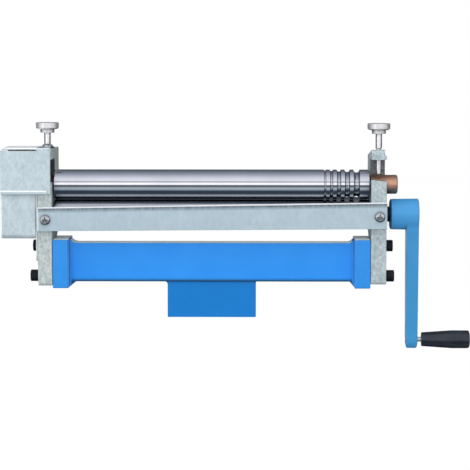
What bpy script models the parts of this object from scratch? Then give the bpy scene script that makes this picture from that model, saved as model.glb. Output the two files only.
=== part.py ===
# Hand-cranked slip roll machine for a bench vise, modelled as separate pieces.
# Metres, +Z up. The origin is the centre of the vise tang's bottom face, +X runs along
# the rolls towards the crank and +Y away from the operator.

import math

import bmesh
import bpy
from mathutils import Matrix, Vector

# Gaps and counts shared by all pieces
SEAT_GAP = 0.0003          # between two faces that seat on each other, and round a running fit
CUT_OVERRUN = 0.004        # how far a cutter runs past the face that it opens
FUSE_OVERLAP = 0.002       # how far two shapes of one casting run into each other
MERGE_DISTANCE = 0.0000002
ROLL_SIDES = 26
SHAFT_SIDES = 20
SCREW_SIDES = 12
HEXAGON_SIDES = 6
CORNER_STEPS = 3
SHARP_ANGLE = math.radians(35)   # edges sharper than this aren't shaded smooth
ROUNDED_ANGLE = math.radians(40)  # edges sharper than this get an edge round
HALF_TURN_STEPS = SHAFT_SIDES // 2
FLATTED_BORE_STEPS = SHAFT_SIDES - 4

# Rolls
ROLL_LENGTH = 0.320
ROLL_RADIUS = 0.015
ROLL_NIP = 0.0004          # between the two pinch rolls
ROLL_END_PLAY = 0.0012     # from a roll's end to the side frame
ROLL_END_ROUND = 0.0008
JOURNAL_RADIUS = 0.006
JOURNAL_CHAMFER = 0.0006
DRIVE_FLAT_HEIGHT = 0.0046  # from the axis to the flat that drives a gear or the crank
GROOVE_WIDTHS = (0.002, 0.003, 0.004, 0.005, 0.006)
GROOVE_LAND = 0.004        # between two wire grooves
GROOVE_END_LAND = 0.010    # from the widest groove to the roll's end
GROOVE_STEPS = 3

# Base casting: tang for the vise, web and two end flanges
TANG_LENGTH = 0.090
TANG_THICKNESS = 0.018
WEB_BOTTOM_Z = 0.0371
WEB_HEIGHT = 0.0392
WEB_THICKNESS = 0.022
FLANGE_BOTTOM_Z = 0.0307
FLANGE_HEIGHT = 0.0496
FLANGE_DEPTH = 0.050
FLANGE_FRONT_REACH = 0.0215    # in front of the web's middle
FLANGE_THICKNESS = 0.0157
FLANGE_ROOT_LENGTH = 0.0028    # short taper from flange to web
FLANGE_ROOT_DEPTH = 0.031
WEB_TOP_SLOPE_LENGTH = 0.0085
WEB_BOTTOM_SLOPE_LENGTH = 0.0070
WEB_SWELL_SHARES = ((0.0, 1.0), (0.25, 0.62), (0.6, 0.16))  # run and rise, from the flange down
BEAM_EDGE_ROUND = 0.0009
WEB_ROLL_SPACE = 0.0096        # from the flanges' top up to the lower roll

# Side frames
LEFT_FRAME_THICKNESS = 0.0143
RIGHT_FRAME_THICKNESS = 0.0155
LEFT_SCREW_INSET = 0.00605     # from the frame's inner face to its pressure, rear and bar screws
RIGHT_SCREW_INSET = 0.0084
LEFT_BOTTOM_Z = 0.0333
RIGHT_BOTTOM_Z = 0.0349
FRAME_FRONT_WALL = 0.0120      # in front of the top roll's cradle
FRAME_LOW_DEPTH = 0.051        # below, where the frame is bolted to the flange
FRAME_BACK_MARGIN = 0.014      # behind the rear roll's axis at its lowest
FRAME_UNDERSIDE_DROP = 0.0165  # from the rear roll's lowest axis to the slanted underside's rear end
BRIDGE_HEIGHT = 0.0106         # metal above the cradle, threaded for the pressure screw
RIGHT_TOP_FALL = 0.008         # the right frame's top falls this much towards the rear
BRIDGE_DRAFT = 0.0019          # the right bridge is this much thinner on its outer side
BRIDGE_FOOT_HEIGHT = 0.0030    # full thickness above the cradle
BRIDGE_FLARE_HEIGHT = 0.0025   # slope from the full thickness to the thinner part
FRAME_EDGE_ROUND = 0.0008
FRAME_CORNER_RADIUS = 0.003
LEFT_LIP_RISE = 0.0029         # the cradle's front lip above the top roll's axis
RIGHT_LIP_RISE_INNER = 0.0056  # at the roll side
RIGHT_LIP_RISE_OUTER = 0.0041
CRADLE_TOP_SPACE = 0.0008      # above the bushes at full lift
ROLL_LIFT = 0.0153             # travel of the top roll's bearings

# Bearings
LOWER_BUSH_RADIUS = 0.009
TOP_BUSH_RADIUS = 0.0097
RELEASE_BUSH_REACH = 0.0120    # how far the bronze bush stands out of the right frame
RELEASE_BUSH_ROUND = 0.0010

# Rear roll and its slanted slots
REAR_SLANT = math.radians(20)  # from the vertical, leaning towards the pinch rolls
REAR_TRAVEL = 0.016
REAR_ROLL_CLEARANCE = 0.0023   # to both pinch rolls with the rear roll fully raised
REAR_BLOCK_HALF_WIDTH = 0.0065
REAR_BLOCK_HALF_HEIGHT = 0.0093
REAR_FLANGE_MARGIN = 0.0022
REAR_FLANGE_THICKNESS = 0.002

# Pressure and adjusting screws with their knobs
THREAD_RADIUS = 0.0026
NECK_RADIUS = 0.0034           # plain neck under the knob, thicker than the thread
SCREW_TIP_ROUND = 0.0008
LEFT_PRESSURE_REACH = 0.0432   # from the tip up to the knob's collar
RIGHT_PRESSURE_REACH = 0.0414
KNOB_RADIUS = 0.0116
KNOB_HEIGHT = 0.0068
KNOB_EDGE_ROUND = 0.0013
KNOB_GROOVE_DEPTH = 0.0004
KNOB_GROOVE_WIDTH = 0.0008
COLLAR_RADIUS = 0.00725
COLLAR_HEIGHT = 0.0038
KNOB_BORE_DEPTH = 0.0075
JAM_NUT_ACROSS_FLATS = 0.012
JAM_NUT_HEIGHT = 0.0038
JAM_NUT_RIM_HEIGHT = 0.0008    # below its long chamfer
JAM_NUT_TOP_RADIUS = 0.0043
REAR_KNOB_MARGIN = 0.002       # left between knob and frame with the rear roll fully raised

# Gears under the cover
GEAR_TEETH = 15
GEAR_SPREAD = 0.0004           # centre distance beyond the two pitch radii
GEAR_WIDTH = 0.018
GEAR_STANDOFF = 0.0015         # from the back plate to the gears
GEAR_PRESSURE_ANGLE = math.radians(20)
GEAR_ADDENDUM_SHARE = 1.0      # of the module
GEAR_DEDENDUM_SHARE = 1.25
GEAR_THINNING = 0.00010        # taken off each flank
GEAR_FLANK_STEPS = 3
GEAR_WASHER_RADIUS = 0.0095
GEAR_WASHER_THICKNESS = 0.0015
GEAR_SCREW_SHANK_RADIUS = 0.0025
GEAR_SCREW_SHANK_LENGTH = 0.012
GEAR_SCREW_HEAD_RADIUS = 0.0042
GEAR_SCREW_HEAD_HEIGHT = 0.0035

# Gear cover and its back plate
COVER_WALL = 0.0025
COVER_WIDTH = 0.0353
COVER_CORNER_CUT = 0.0050
COVER_STEP = 0.0028            # the upper half stands this far in front of the lower one
COVER_LOWER_PROUD = 0.0005     # lower half in front of the frame's front
COVER_TOP_RISE = 0.0013        # above the frame's top
COVER_SPLIT_DROP = 0.0082      # below the top roll's axis
COVER_BOTTOM_DROP = 0.0237     # below the lower roll's axis
COVER_FLAP_INSET = 0.0008      # the flap stops this far short of the frame's inner face
COVER_EDGE_ROUND = 0.0012
COVER_POST_RADIUS = 0.0042
COVER_POST_GEAR_SPACE = 0.0031  # between the gears' tips and the posts
COVER_POST_WALL_SPACE = 0.0010  # between the posts and the rear wall
COVER_UPPER_SCREW_DROP = 0.0110  # below the frame's top
COVER_LOWER_SCREW_DROP = 0.0164  # below the lower roll's axis
NOTCH_LENGTH = 0.028
NOTCH_HEIGHT = 0.0026
NOTCH_DEPTH = 0.0018
NOTCH_INSET = 0.0087           # from the cover's outer side
BACK_PLATE_THICKNESS = 0.0015
BACK_PLATE_FRONT_INSET = 0.0008
BACK_PLATE_BACK_INSET = 0.002
BACK_PLATE_DROP = 0.0466       # below the lower roll's axis
BACK_PLATE_CORNER = 0.004
SHAFT_CLEARANCE = 0.002        # round a journal in the back plate

# Guard bar in front of the rolls
BAR_THICKNESS = 0.006
BAR_TOP_BEVEL = 0.0022
BAR_LEFT_HEIGHT = 0.0245
BAR_RIGHT_HEIGHT = 0.0266
BAR_LEFT_DROP = 0.0062         # from the pinch line down to the bar's top
BAR_RIGHT_DROP = 0.0016
BAR_END_OVERHANG_RIGHT = 0.0002
BAR_END_INSET_LEFT = 0.0002
BAR_SCREW_DROP_LEFT = 0.0130   # from the bar's top down to its screw
BAR_SCREW_DROP_RIGHT = 0.0145

# Screws
CAP_SHANK_RADIUS = 0.004
CAP_HEAD_RADIUS = 0.0059
CAP_HEAD_HEIGHT = 0.0082
CAP_HEAD_ROUND = 0.0009
CAP_SOCKET_RADIUS = 0.0034
CAP_SOCKET_DEPTH = 0.004
CAP_SHANK_LENGTH = 0.0275      # through the frame and into the flange
CAP_LOWER_Y = -0.011
CAP_LOWER_RISE = 0.0122        # above the flange's bottom
CAP_UPPER_Y = 0.012
CAP_UPPER_DROP = 0.0088        # below the flange's top
PAN_SHANK_RADIUS = 0.0025
PAN_HEAD_RADIUS = 0.00525
PAN_HEAD_HEIGHT = 0.0030
PAN_CROWN_SHARES = ((0.45, 1.0), (0.85, 0.82), (1.0, 0.45))  # height and radius of the head's crown
PAN_BITE = 0.009
PAN_CROSS_LENGTH = 0.0058
PAN_CROSS_WIDTH = 0.0013
PAN_CROSS_DEPTH = 0.0013

# Crank and grip
SHAFT_COLLAR_RADIUS = 0.00775
SHAFT_COLLAR_LENGTH = 0.0043
CRANK_HUB_RADIUS = 0.0159
CRANK_HUB_NOSE_RADIUS = 0.0155
CRANK_HUB_LENGTH = 0.0294
CRANK_ARM_THICKNESS = 0.0127
CRANK_ARM_ROOT_HALF_WIDTH = 0.0105
CRANK_SHOULDER_RADIUS = 0.012  # hollow curve from the hub into the arm
CRANK_SHOULDER_STEPS = 2
CRANK_RADIUS = 0.1285
CRANK_END_RADIUS = 0.009
CRANK_EDGE_ROUND = 0.0016
CRANK_SHAFT_SHORTFALL = 0.003  # the journal stops this far inside the hub
SET_SCREW_RADIUS = 0.0027
SET_SCREW_LENGTH = 0.0095
SET_SCREW_INSET = 0.009        # from the hub's nose
GRIP_PIN_RADIUS = 0.0025
GRIP_PIN_STANDOFF = 0.0040
GRIP_LENGTH = 0.0492
GRIP_NECK_RADIUS = 0.00715
GRIP_RADIUS = 0.00925
GRIP_TAPER_SHARE = 0.62        # of the grip's length, from the crank side
GRIP_END_ROUND = 0.0026
GRIP_FACET_DEPTH = 0.00035
GRIP_FACETS = 8
PIN_HEAD_RADIUS = 0.0040
PIN_HEAD_HEIGHT = 0.0025
PIN_HEAD_RECESS = 0.0010

# Places worked out from the sizes above
FLANGE_TOP_Z = FLANGE_BOTTOM_Z + FLANGE_HEIGHT
WEB_TOP_Z = WEB_BOTTOM_Z + WEB_HEIGHT
LOWER_AXIS_Z = FLANGE_TOP_Z + WEB_ROLL_SPACE + ROLL_RADIUS
CENTRE_DISTANCE = 2 * ROLL_RADIUS + ROLL_NIP
TOP_AXIS_Z = LOWER_AXIS_Z + CENTRE_DISTANCE
PINCH_Z = LOWER_AXIS_Z + CENTRE_DISTANCE / 2
FRAME_INNER_X = ROLL_LENGTH / 2 + ROLL_END_PLAY
FLANGE_FACE_X = FRAME_INNER_X - SEAT_GAP
LEFT_OUTER_X = FRAME_INNER_X + LEFT_FRAME_THICKNESS
RIGHT_OUTER_X = FRAME_INNER_X + RIGHT_FRAME_THICKNESS
OUTER_X = {-1: -LEFT_OUTER_X, 1: RIGHT_OUTER_X}
SCREW_X = {-1: -(FRAME_INNER_X + LEFT_SCREW_INSET), 1: FRAME_INNER_X + RIGHT_SCREW_INSET}
CRADLE_RADIUS = TOP_BUSH_RADIUS + SEAT_GAP
CRADLE_TOP_Z = TOP_AXIS_Z + TOP_BUSH_RADIUS + ROLL_LIFT + CRADLE_TOP_SPACE
FRAME_TOP_Z = CRADLE_TOP_Z + BRIDGE_HEIGHT
FRAME_FRONT_Y = -(CRADLE_RADIUS + FRAME_FRONT_WALL)
FLANGE_FRONT_Y = -FLANGE_FRONT_REACH
FLANGE_BACK_Y = FLANGE_FRONT_Y + FLANGE_DEPTH
REAR_REACH = 2 * ROLL_RADIUS + REAR_ROLL_CLEARANCE
REAR_HIGH_Y = math.sqrt(REAR_REACH ** 2 - (CENTRE_DISTANCE / 2) ** 2)
REAR_UP = Vector((0, -math.sin(REAR_SLANT), math.cos(REAR_SLANT)))
REAR_HIGH = Vector((0, REAR_HIGH_Y, PINCH_Z))
REAR_LOW = REAR_HIGH - REAR_TRAVEL * REAR_UP
FRAME_BACK_Y = REAR_LOW.y + FRAME_BACK_MARGIN
FRAME_LOW_BACK_Y = FRAME_FRONT_Y + FRAME_LOW_DEPTH
UNDERSIDE_BACK_Z = REAR_LOW.z - FRAME_UNDERSIDE_DROP
UNDERSIDE_FRONT_Z = UNDERSIDE_BACK_Z - (FRAME_BACK_Y - FRAME_LOW_BACK_Y) * math.tan(REAR_SLANT)
BACK_PLATE_OUTER_X = LEFT_OUTER_X + SEAT_GAP + BACK_PLATE_THICKNESS
GEAR_INNER_X = BACK_PLATE_OUTER_X + GEAR_STANDOFF
GEAR_OUTER_X = GEAR_INNER_X + GEAR_WIDTH
COVER_RIM_X = BACK_PLATE_OUTER_X + SEAT_GAP
COVER_OUTER_X = COVER_RIM_X + COVER_WIDTH
GEAR_PITCH_RADIUS = (CENTRE_DISTANCE - GEAR_SPREAD) / 2
GEAR_MODULE = 2 * GEAR_PITCH_RADIUS / GEAR_TEETH
GEAR_TIP_RADIUS = GEAR_PITCH_RADIUS + GEAR_ADDENDUM_SHARE * GEAR_MODULE
COVER_POST_Y = GEAR_TIP_RADIUS + COVER_POST_GEAR_SPACE + COVER_POST_RADIUS
COVER_BACK_Y = COVER_POST_Y + COVER_POST_RADIUS + COVER_POST_WALL_SPACE + COVER_WALL
CRANK_NOSE_X = RIGHT_OUTER_X + SHAFT_COLLAR_LENGTH
CRANK_OUTER_X = CRANK_NOSE_X + CRANK_HUB_LENGTH
CRANK_ARM_X = CRANK_OUTER_X - CRANK_ARM_THICKNESS
GRIP_INNER_X = CRANK_OUTER_X + GRIP_PIN_STANDOFF
CAP_PLACES = {
    "lower": (CAP_LOWER_Y, FLANGE_BOTTOM_Z + CAP_LOWER_RISE),
    "upper": (CAP_UPPER_Y, FLANGE_TOP_Z - CAP_UPPER_DROP),
}
COVER_SCREW_HEIGHTS = {
    "upper": FRAME_TOP_Z - COVER_UPPER_SCREW_DROP,
    "lower": LOWER_AXIS_Z - COVER_LOWER_SCREW_DROP,
}
BAR_TOPS = {"left": PINCH_Z - BAR_LEFT_DROP, "right": PINCH_Z - BAR_RIGHT_DROP}
BAR_SCREW_HEIGHTS = {
    "left": BAR_TOPS["left"] - BAR_SCREW_DROP_LEFT,
    "right": BAR_TOPS["right"] - BAR_SCREW_DROP_RIGHT,
}


# Materials

def material(name, colour, roughness, metallic):
    made = bpy.data.materials.new(name)
    made.use_nodes = True
    shader = made.node_tree.nodes["Principled BSDF"]
    shader.inputs["Base Color"].default_value = (*colour, 1)
    shader.inputs["Roughness"].default_value = roughness
    shader.inputs["Metallic"].default_value = metallic
    made.diffuse_color = (*colour, 1)
    return made


def make_materials():
    return {
        "blue_paint": material("blue_paint", (0.03, 0.27, 0.82), 0.35, 0.0),
        "cast_zinc": material("cast_zinc", (0.55, 0.60, 0.62), 0.50, 0.6),
        "galvanised": material("galvanised", (0.46, 0.56, 0.62), 0.42, 0.7),
        "polished_steel": material("polished_steel", (0.55, 0.56, 0.60), 0.16, 1.0),
        "bright_steel": material("bright_steel", (0.62, 0.63, 0.64), 0.28, 1.0),
        "black_steel": material("black_steel", (0.02, 0.021, 0.024), 0.40, 0.5),
        "bronze": material("bronze", (0.62, 0.30, 0.17), 0.30, 1.0),
        "black_plastic": material("black_plastic", (0.02, 0.024, 0.03), 0.42, 0.0),
    }


# Modelling helpers

def clear_scene():
    for old in list(bpy.data.objects):
        bpy.data.objects.remove(old, do_unlink=True)


def joint_frame(name, location, tilt=0):
    """An empty on a joint's axis, which carries the pieces that move with it."""
    empty = bpy.data.objects.new(name, None)
    empty.location = location
    empty.rotation_euler = (tilt, 0, 0)
    bpy.context.collection.objects.link(empty)
    return empty


def add_object(name, shape, finish=None, parent=None, location=(0, 0, 0), rotation=(0, 0, 0)):
    """Turns a bmesh into an object, shaded smooth with sharp edges kept."""
    bmesh.ops.recalc_face_normals(shape, faces=shape.faces)
    mesh = bpy.data.meshes.new(name)
    shape.to_mesh(mesh)
    shape.free()
    mesh.shade_smooth()
    mesh.set_sharp_from_angle(angle=SHARP_ANGLE)
    if finish:
        mesh.materials.append(finish)
    made = bpy.data.objects.new(name, mesh)
    made.parent = parent
    made.location = location
    made.rotation_euler = rotation
    bpy.context.collection.objects.link(made)
    return made


def copy_object(source, name, parent=None, location=(0, 0, 0), rotation=(0, 0, 0)):
    """A second piece that shares the first one's mesh and has the same modifiers."""
    made = source.copy()
    made.name = name
    made.parent = parent
    made.location = location
    made.rotation_euler = rotation
    bpy.context.collection.objects.link(made)
    return made


def boolean(target, tool_shape, operation, edge_round=0):
    """Adds or cuts a shape given in the target's own coordinates."""
    tool = add_object(f"{target.name}_{operation.lower()}_tool", tool_shape, parent=target)
    tool.hide_render = True
    tool.display_type = "WIRE"
    if edge_round:
        soften(tool, edge_round)
    step = target.modifiers.new(operation.title(), "BOOLEAN")
    step.operation = operation
    step.solver = "EXACT"
    step.object = tool


def cut(target, tool_shape):
    boolean(target, tool_shape, "DIFFERENCE")


def fuse(target, tool_shape, edge_round=0):
    boolean(target, tool_shape, "UNION", edge_round)


def soften(target, width, segments=1):
    step = target.modifiers.new("Edge round", "BEVEL")
    step.width = width
    step.segments = segments
    step.limit_method = "ANGLE"
    step.angle_limit = ROUNDED_ANGLE


def spun(profile, sides, direction="X"):
    """A solid turned from (place along the axis, radius) points that start and end on the axis."""
    shape = bmesh.new()
    points = [shape.verts.new((0, radius, along)) for along, radius in profile]
    for first, second in zip(points, points[1:]):
        shape.edges.new((first, second))
    bmesh.ops.spin(
        shape, geom=shape.verts[:] + shape.edges[:], cent=(0, 0, 0), axis=(0, 0, 1),
        dvec=(0, 0, 0), angle=2 * math.pi, steps=sides, use_merge=True,
    )
    bmesh.ops.remove_doubles(shape, verts=shape.verts, dist=MERGE_DISTANCE)
    return turned_to(shape, direction)


def turned_to(shape, direction):
    """Turns a shape made along +Z so that it runs along the named direction."""
    turns = {
        "X": Matrix.Rotation(math.pi / 2, 4, "Y"),
        "-X": Matrix.Rotation(-math.pi / 2, 4, "Y"),
        "Y": Matrix.Rotation(-math.pi / 2, 4, "X"),
        "-Y": Matrix.Rotation(math.pi / 2, 4, "X"),
        "Z": Matrix.Identity(4),
        "-Z": Matrix.Rotation(math.pi, 4, "X"),
    }
    bmesh.ops.transform(shape, matrix=turns[direction], verts=shape.verts)
    return shape


def rod(radius, low, high, sides=SCREW_SIDES, direction="X", centre=(0, 0, 0)):
    shape = spun([(low, 0), (low, radius), (high, radius), (high, 0)], sides, direction)
    bmesh.ops.translate(shape, vec=centre, verts=shape.verts)
    return shape


def prism(outline, low, high, direction="X"):
    """A closed outline extruded: (y, z) points along X, (x, z) along Y or (x, y) along Z."""
    place = {
        "X": lambda a, b: (low, a, b),
        "Y": lambda a, b: (a, low, b),
        "Z": lambda a, b: (a, b, low),
    }[direction]
    travel = {"X": (1, 0, 0), "Y": (0, 1, 0), "Z": (0, 0, 1)}[direction]
    shape = bmesh.new()
    face = shape.faces.new([shape.verts.new(place(a, b)) for a, b in outline])
    grown = bmesh.ops.extrude_face_region(shape, geom=[face])
    moved = [item for item in grown["geom"] if isinstance(item, bmesh.types.BMVert)]
    bmesh.ops.translate(shape, vec=Vector(travel) * (high - low), verts=moved)
    return shape


def block(x_span, y_span, z_span):
    (x0, x1), (y0, y1), (z0, z1) = x_span, y_span, z_span
    return prism([(y0, z0), (y1, z0), (y1, z1), (y0, z1)], x0, x1, "X")


def arc(centre, radius, start, end, steps):
    """Points on an arc, from the start angle to the end angle in degrees."""
    turns = [math.radians(start + (end - start) * i / steps) for i in range(steps + 1)]
    return [(centre[0] + radius * math.cos(t), centre[1] + radius * math.sin(t)) for t in turns]


def rounded(corners, radius, steps=CORNER_STEPS):
    """An outline whose corners are rounded with one radius."""
    points = []
    for i, corner in enumerate(corners):
        here = Vector(corner)
        before = (Vector(corners[i - 1]) - here).normalized()
        after = (Vector(corners[(i + 1) % len(corners)]) - here).normalized()
        half_angle = before.angle(after) / 2
        reach = radius / math.tan(half_angle)
        centre = here + (before + after).normalized() * radius / math.sin(half_angle)
        first, last = here + before * reach - centre, here + after * reach - centre
        sweep = first.angle(last)
        for step in range(steps + 1):
            part = step / steps
            spoke = first * math.sin((1 - part) * sweep) + last * math.sin(part * sweep)
            points.append(tuple(centre + spoke / math.sin(sweep)))
    return points


def slanted_rectangle(centre, half_width, low, high):
    """A rectangle along the rear roll's slant in the (y, z) plane."""
    along = Vector((REAR_UP.y, REAR_UP.z))
    across = Vector((along.y, -along.x))
    middle = Vector((centre.y, centre.z))
    corners = ((low, -half_width), (low, half_width), (high, half_width), (high, -half_width))
    return [tuple(middle + along * up + across * side) for up, side in corners]


def flat_bore(radius, flat_height, low, high, flat_angle):
    """A round bar along X with one flat, which faces the given angle from +Y towards +Z."""
    half_angle = math.degrees(math.acos(flat_height / radius))
    start, end = flat_angle + half_angle, flat_angle + 360 - half_angle
    outline = arc((0, 0), radius, start, end, FLATTED_BORE_STEPS)
    return prism(outline, low, high, "X")


# Base casting

def web_outline():
    """Front view of the web, which swells into both flanges above and below."""
    inner_x = FLANGE_FACE_X - FLANGE_THICKNESS
    end_x = inner_x + FUSE_OVERLAP
    top_run_x = inner_x - WEB_TOP_SLOPE_LENGTH
    low_run_x = inner_x - WEB_BOTTOM_SLOPE_LENGTH
    top_swell = [
        (inner_x - WEB_TOP_SLOPE_LENGTH * run, WEB_TOP_Z + (FLANGE_TOP_Z - WEB_TOP_Z) * rise)
        for run, rise in WEB_SWELL_SHARES
    ]
    right = [
        (low_run_x, WEB_BOTTOM_Z), (inner_x, FLANGE_BOTTOM_Z), (end_x, FLANGE_BOTTOM_Z),
        (end_x, FLANGE_TOP_Z), *top_swell, (top_run_x, WEB_TOP_Z),
    ]
    return right + [(-x, z) for x, z in reversed(right)]


def flange_shape(side):
    """A flange with its short taper into the web, as a plan outline."""
    inner_x = FLANGE_FACE_X - FLANGE_THICKNESS
    root_x = inner_x - FLANGE_ROOT_LENGTH
    outline = [
        (FLANGE_FACE_X, FLANGE_FRONT_Y), (FLANGE_FACE_X, FLANGE_BACK_Y), (inner_x, FLANGE_BACK_Y),
        (inner_x, FLANGE_ROOT_DEPTH / 2), (root_x, WEB_THICKNESS / 2),
        (root_x, -WEB_THICKNESS / 2), (inner_x, -FLANGE_ROOT_DEPTH / 2), (inner_x, FLANGE_FRONT_Y),
    ]
    return prism([(side * x, y) for x, y in outline], FLANGE_BOTTOM_Z, FLANGE_TOP_Z, "Z")


def make_base_beam(finish):
    web = prism(web_outline(), -WEB_THICKNESS / 2, WEB_THICKNESS / 2, "Y")
    beam = add_object("base_beam", web, finish)
    for side in (-1, 1):
        fuse(beam, flange_shape(side))
    tang_span = (-TANG_LENGTH / 2, TANG_LENGTH / 2)
    tang_depth = (-TANG_THICKNESS / 2, TANG_THICKNESS / 2)
    fuse(beam, block(tang_span, tang_depth, (0, WEB_BOTTOM_Z + FUSE_OVERLAP)))
    soften(beam, BEAM_EDGE_ROUND)
    for side in (-1, 1):
        hole_end_x = OUTER_X[side] - side * (CAP_SHANK_LENGTH + SEAT_GAP)
        for y, z in CAP_PLACES.values():
            hole = rod(
                CAP_SHANK_RADIUS + SEAT_GAP, hole_end_x, side * (FLANGE_FACE_X + CUT_OVERRUN),
                centre=(0, y, z),
            )
            cut(beam, hole)
    return beam


# Side frames

def frame_outline(bottom_z, top_back_z):
    corners = [
        (FRAME_FRONT_Y, bottom_z), (FRAME_LOW_BACK_Y, bottom_z),
        (FRAME_LOW_BACK_Y, UNDERSIDE_FRONT_Z), (FRAME_BACK_Y, UNDERSIDE_BACK_Z),
        (FRAME_BACK_Y, top_back_z), (FRAME_FRONT_Y, FRAME_TOP_Z),
    ]
    return rounded(corners, FRAME_CORNER_RADIUS)


def frame_blank(name, side, bottom_z, top_back_z, finish):
    """A side frame with the bores and the top roll's cradle that both frames have."""
    low_x, high_x = sorted((side * FRAME_INNER_X, OUTER_X[side]))
    outline = frame_outline(bottom_z, top_back_z)
    frame = add_object(name, prism(outline, low_x, high_x), finish)
    soften(frame, FRAME_EDGE_ROUND)
    span = (low_x - CUT_OVERRUN, high_x + CUT_OVERRUN)
    cradle = arc((0, TOP_AXIS_Z), CRADLE_RADIUS, 180, 360, HALF_TURN_STEPS)
    cradle += [(CRADLE_RADIUS, CRADLE_TOP_Z), (-CRADLE_RADIUS, CRADLE_TOP_Z)]
    cut(frame, prism(cradle, *span))
    bush_bore = rod(
        LOWER_BUSH_RADIUS + SEAT_GAP, *span, sides=SHAFT_SIDES, centre=(0, 0, LOWER_AXIS_Z)
    )
    cut(frame, bush_bore)
    slot = slanted_rectangle(
        REAR_LOW, REAR_BLOCK_HALF_WIDTH + SEAT_GAP, -(REAR_BLOCK_HALF_HEIGHT + SEAT_GAP),
        REAR_TRAVEL + REAR_BLOCK_HALF_HEIGHT + SEAT_GAP,
    )
    cut(frame, prism(slot, *span))
    for y, z in CAP_PLACES.values():
        cut(frame, rod(CAP_SHANK_RADIUS + SEAT_GAP, *span, centre=(0, y, z)))
    pressure_hole = rod(
        THREAD_RADIUS + SEAT_GAP, CRADLE_TOP_Z - CUT_OVERRUN, FRAME_TOP_Z + CUT_OVERRUN,
        direction="Z", centre=(SCREW_X[side], 0, 0),
    )
    cut(frame, pressure_hole)
    rear_hole = rod(
        THREAD_RADIUS + SEAT_GAP, -(FRAME_UNDERSIDE_DROP + FRAME_BACK_MARGIN),
        -REAR_BLOCK_HALF_HEIGHT, direction="Z",
    )
    bmesh.ops.rotate(rear_hole, matrix=Matrix.Rotation(REAR_SLANT, 3, "X"), verts=rear_hole.verts)
    rear_place = REAR_LOW + Vector((SCREW_X[side], 0, 0))
    bmesh.ops.translate(rear_hole, vec=rear_place, verts=rear_hole.verts)
    cut(frame, rear_hole)
    bar_key = "left" if side < 0 else "right"
    bar_hole = rod(
        PAN_SHANK_RADIUS + SEAT_GAP, FRAME_FRONT_Y - CUT_OVERRUN, FRAME_FRONT_Y + PAN_BITE + SEAT_GAP,
        direction="Y", centre=(SCREW_X[side], 0, BAR_SCREW_HEIGHTS[bar_key]),
    )
    cut(frame, bar_hole)
    return frame


def open_mouth(frame, side, inner_rise, outer_rise):
    """Opens the cradle to the front above its lip, so that the top roll's bush goes in."""
    inner_x, outer_x = side * FRAME_INNER_X, OUTER_X[side]
    overrun = side * CUT_OVERRUN
    mouth = [
        (inner_x - overrun, TOP_AXIS_Z + inner_rise), (inner_x, TOP_AXIS_Z + inner_rise),
        (outer_x, TOP_AXIS_Z + outer_rise), (outer_x + overrun, TOP_AXIS_Z + outer_rise),
        (outer_x + overrun, CRADLE_TOP_Z), (inner_x - overrun, CRADLE_TOP_Z),
    ]
    cut(frame, prism(mouth, FRAME_FRONT_Y - CUT_OVERRUN, 0, "Y"))


def make_left_frame(finish):
    """Frame whose mouth the cover's flap closes, with bores for the cover's screws."""
    frame = frame_blank("left_frame", -1, LEFT_BOTTOM_Z, FRAME_TOP_Z, finish)
    open_mouth(frame, -1, LEFT_LIP_RISE, LEFT_LIP_RISE)
    for z in COVER_SCREW_HEIGHTS.values():
        hole = rod(
            PAN_SHANK_RADIUS + SEAT_GAP, -LEFT_OUTER_X - CUT_OVERRUN,
            -LEFT_OUTER_X + PAN_BITE + SEAT_GAP, centre=(0, COVER_POST_Y, z),
        )
        cut(frame, hole)


def make_right_frame(finish):
    """Frame whose mouth stays open, so that the top roll slips off over a sloping lip."""
    top_back_z = FRAME_TOP_Z - RIGHT_TOP_FALL
    frame = frame_blank("right_frame", 1, RIGHT_BOTTOM_Z, top_back_z, finish)
    open_mouth(frame, 1, RIGHT_LIP_RISE_INNER, RIGHT_LIP_RISE_OUTER)
    foot_z = CRADLE_TOP_Z + BRIDGE_FOOT_HEIGHT
    thin_x = RIGHT_OUTER_X - BRIDGE_DRAFT
    draft = [
        (RIGHT_OUTER_X, foot_z), (RIGHT_OUTER_X + CUT_OVERRUN, foot_z),
        (RIGHT_OUTER_X + CUT_OVERRUN, FRAME_TOP_Z + CUT_OVERRUN),
        (thin_x, FRAME_TOP_Z + CUT_OVERRUN), (thin_x, foot_z + BRIDGE_FLARE_HEIGHT),
    ]
    cut(frame, prism(draft, FRAME_FRONT_Y - CUT_OVERRUN, FRAME_BACK_Y + CUT_OVERRUN, "Y"))


# Rolls

def roll_profile(left_end_x, right_end_x, groove_widths):
    """Half section of a roll: journals, and a barrel with any wire grooves near its right end."""
    half = ROLL_LENGTH / 2
    profile = [
        (left_end_x, 0), (left_end_x, JOURNAL_RADIUS - JOURNAL_CHAMFER),
        (left_end_x + JOURNAL_CHAMFER, JOURNAL_RADIUS), (-half, JOURNAL_RADIUS),
        (-half, ROLL_RADIUS - ROLL_END_ROUND), (-half + ROLL_END_ROUND, ROLL_RADIUS),
    ]
    grooves_length = sum(groove_widths) + GROOVE_LAND * (len(groove_widths) - 1)
    x = half - GROOVE_END_LAND - grooves_length
    for width in groove_widths:
        radius = width / 2
        profile += [
            (along, reach) for along, reach in arc(
                (x + radius, ROLL_RADIUS), radius, 180, 360, GROOVE_STEPS
            )
        ]
        x += width + GROOVE_LAND
    profile += [
        (half - ROLL_END_ROUND, ROLL_RADIUS), (half, ROLL_RADIUS - ROLL_END_ROUND),
        (half, JOURNAL_RADIUS), (right_end_x - JOURNAL_CHAMFER, JOURNAL_RADIUS),
        (right_end_x, JOURNAL_RADIUS - JOURNAL_CHAMFER), (right_end_x, 0),
    ]
    return profile


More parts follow.
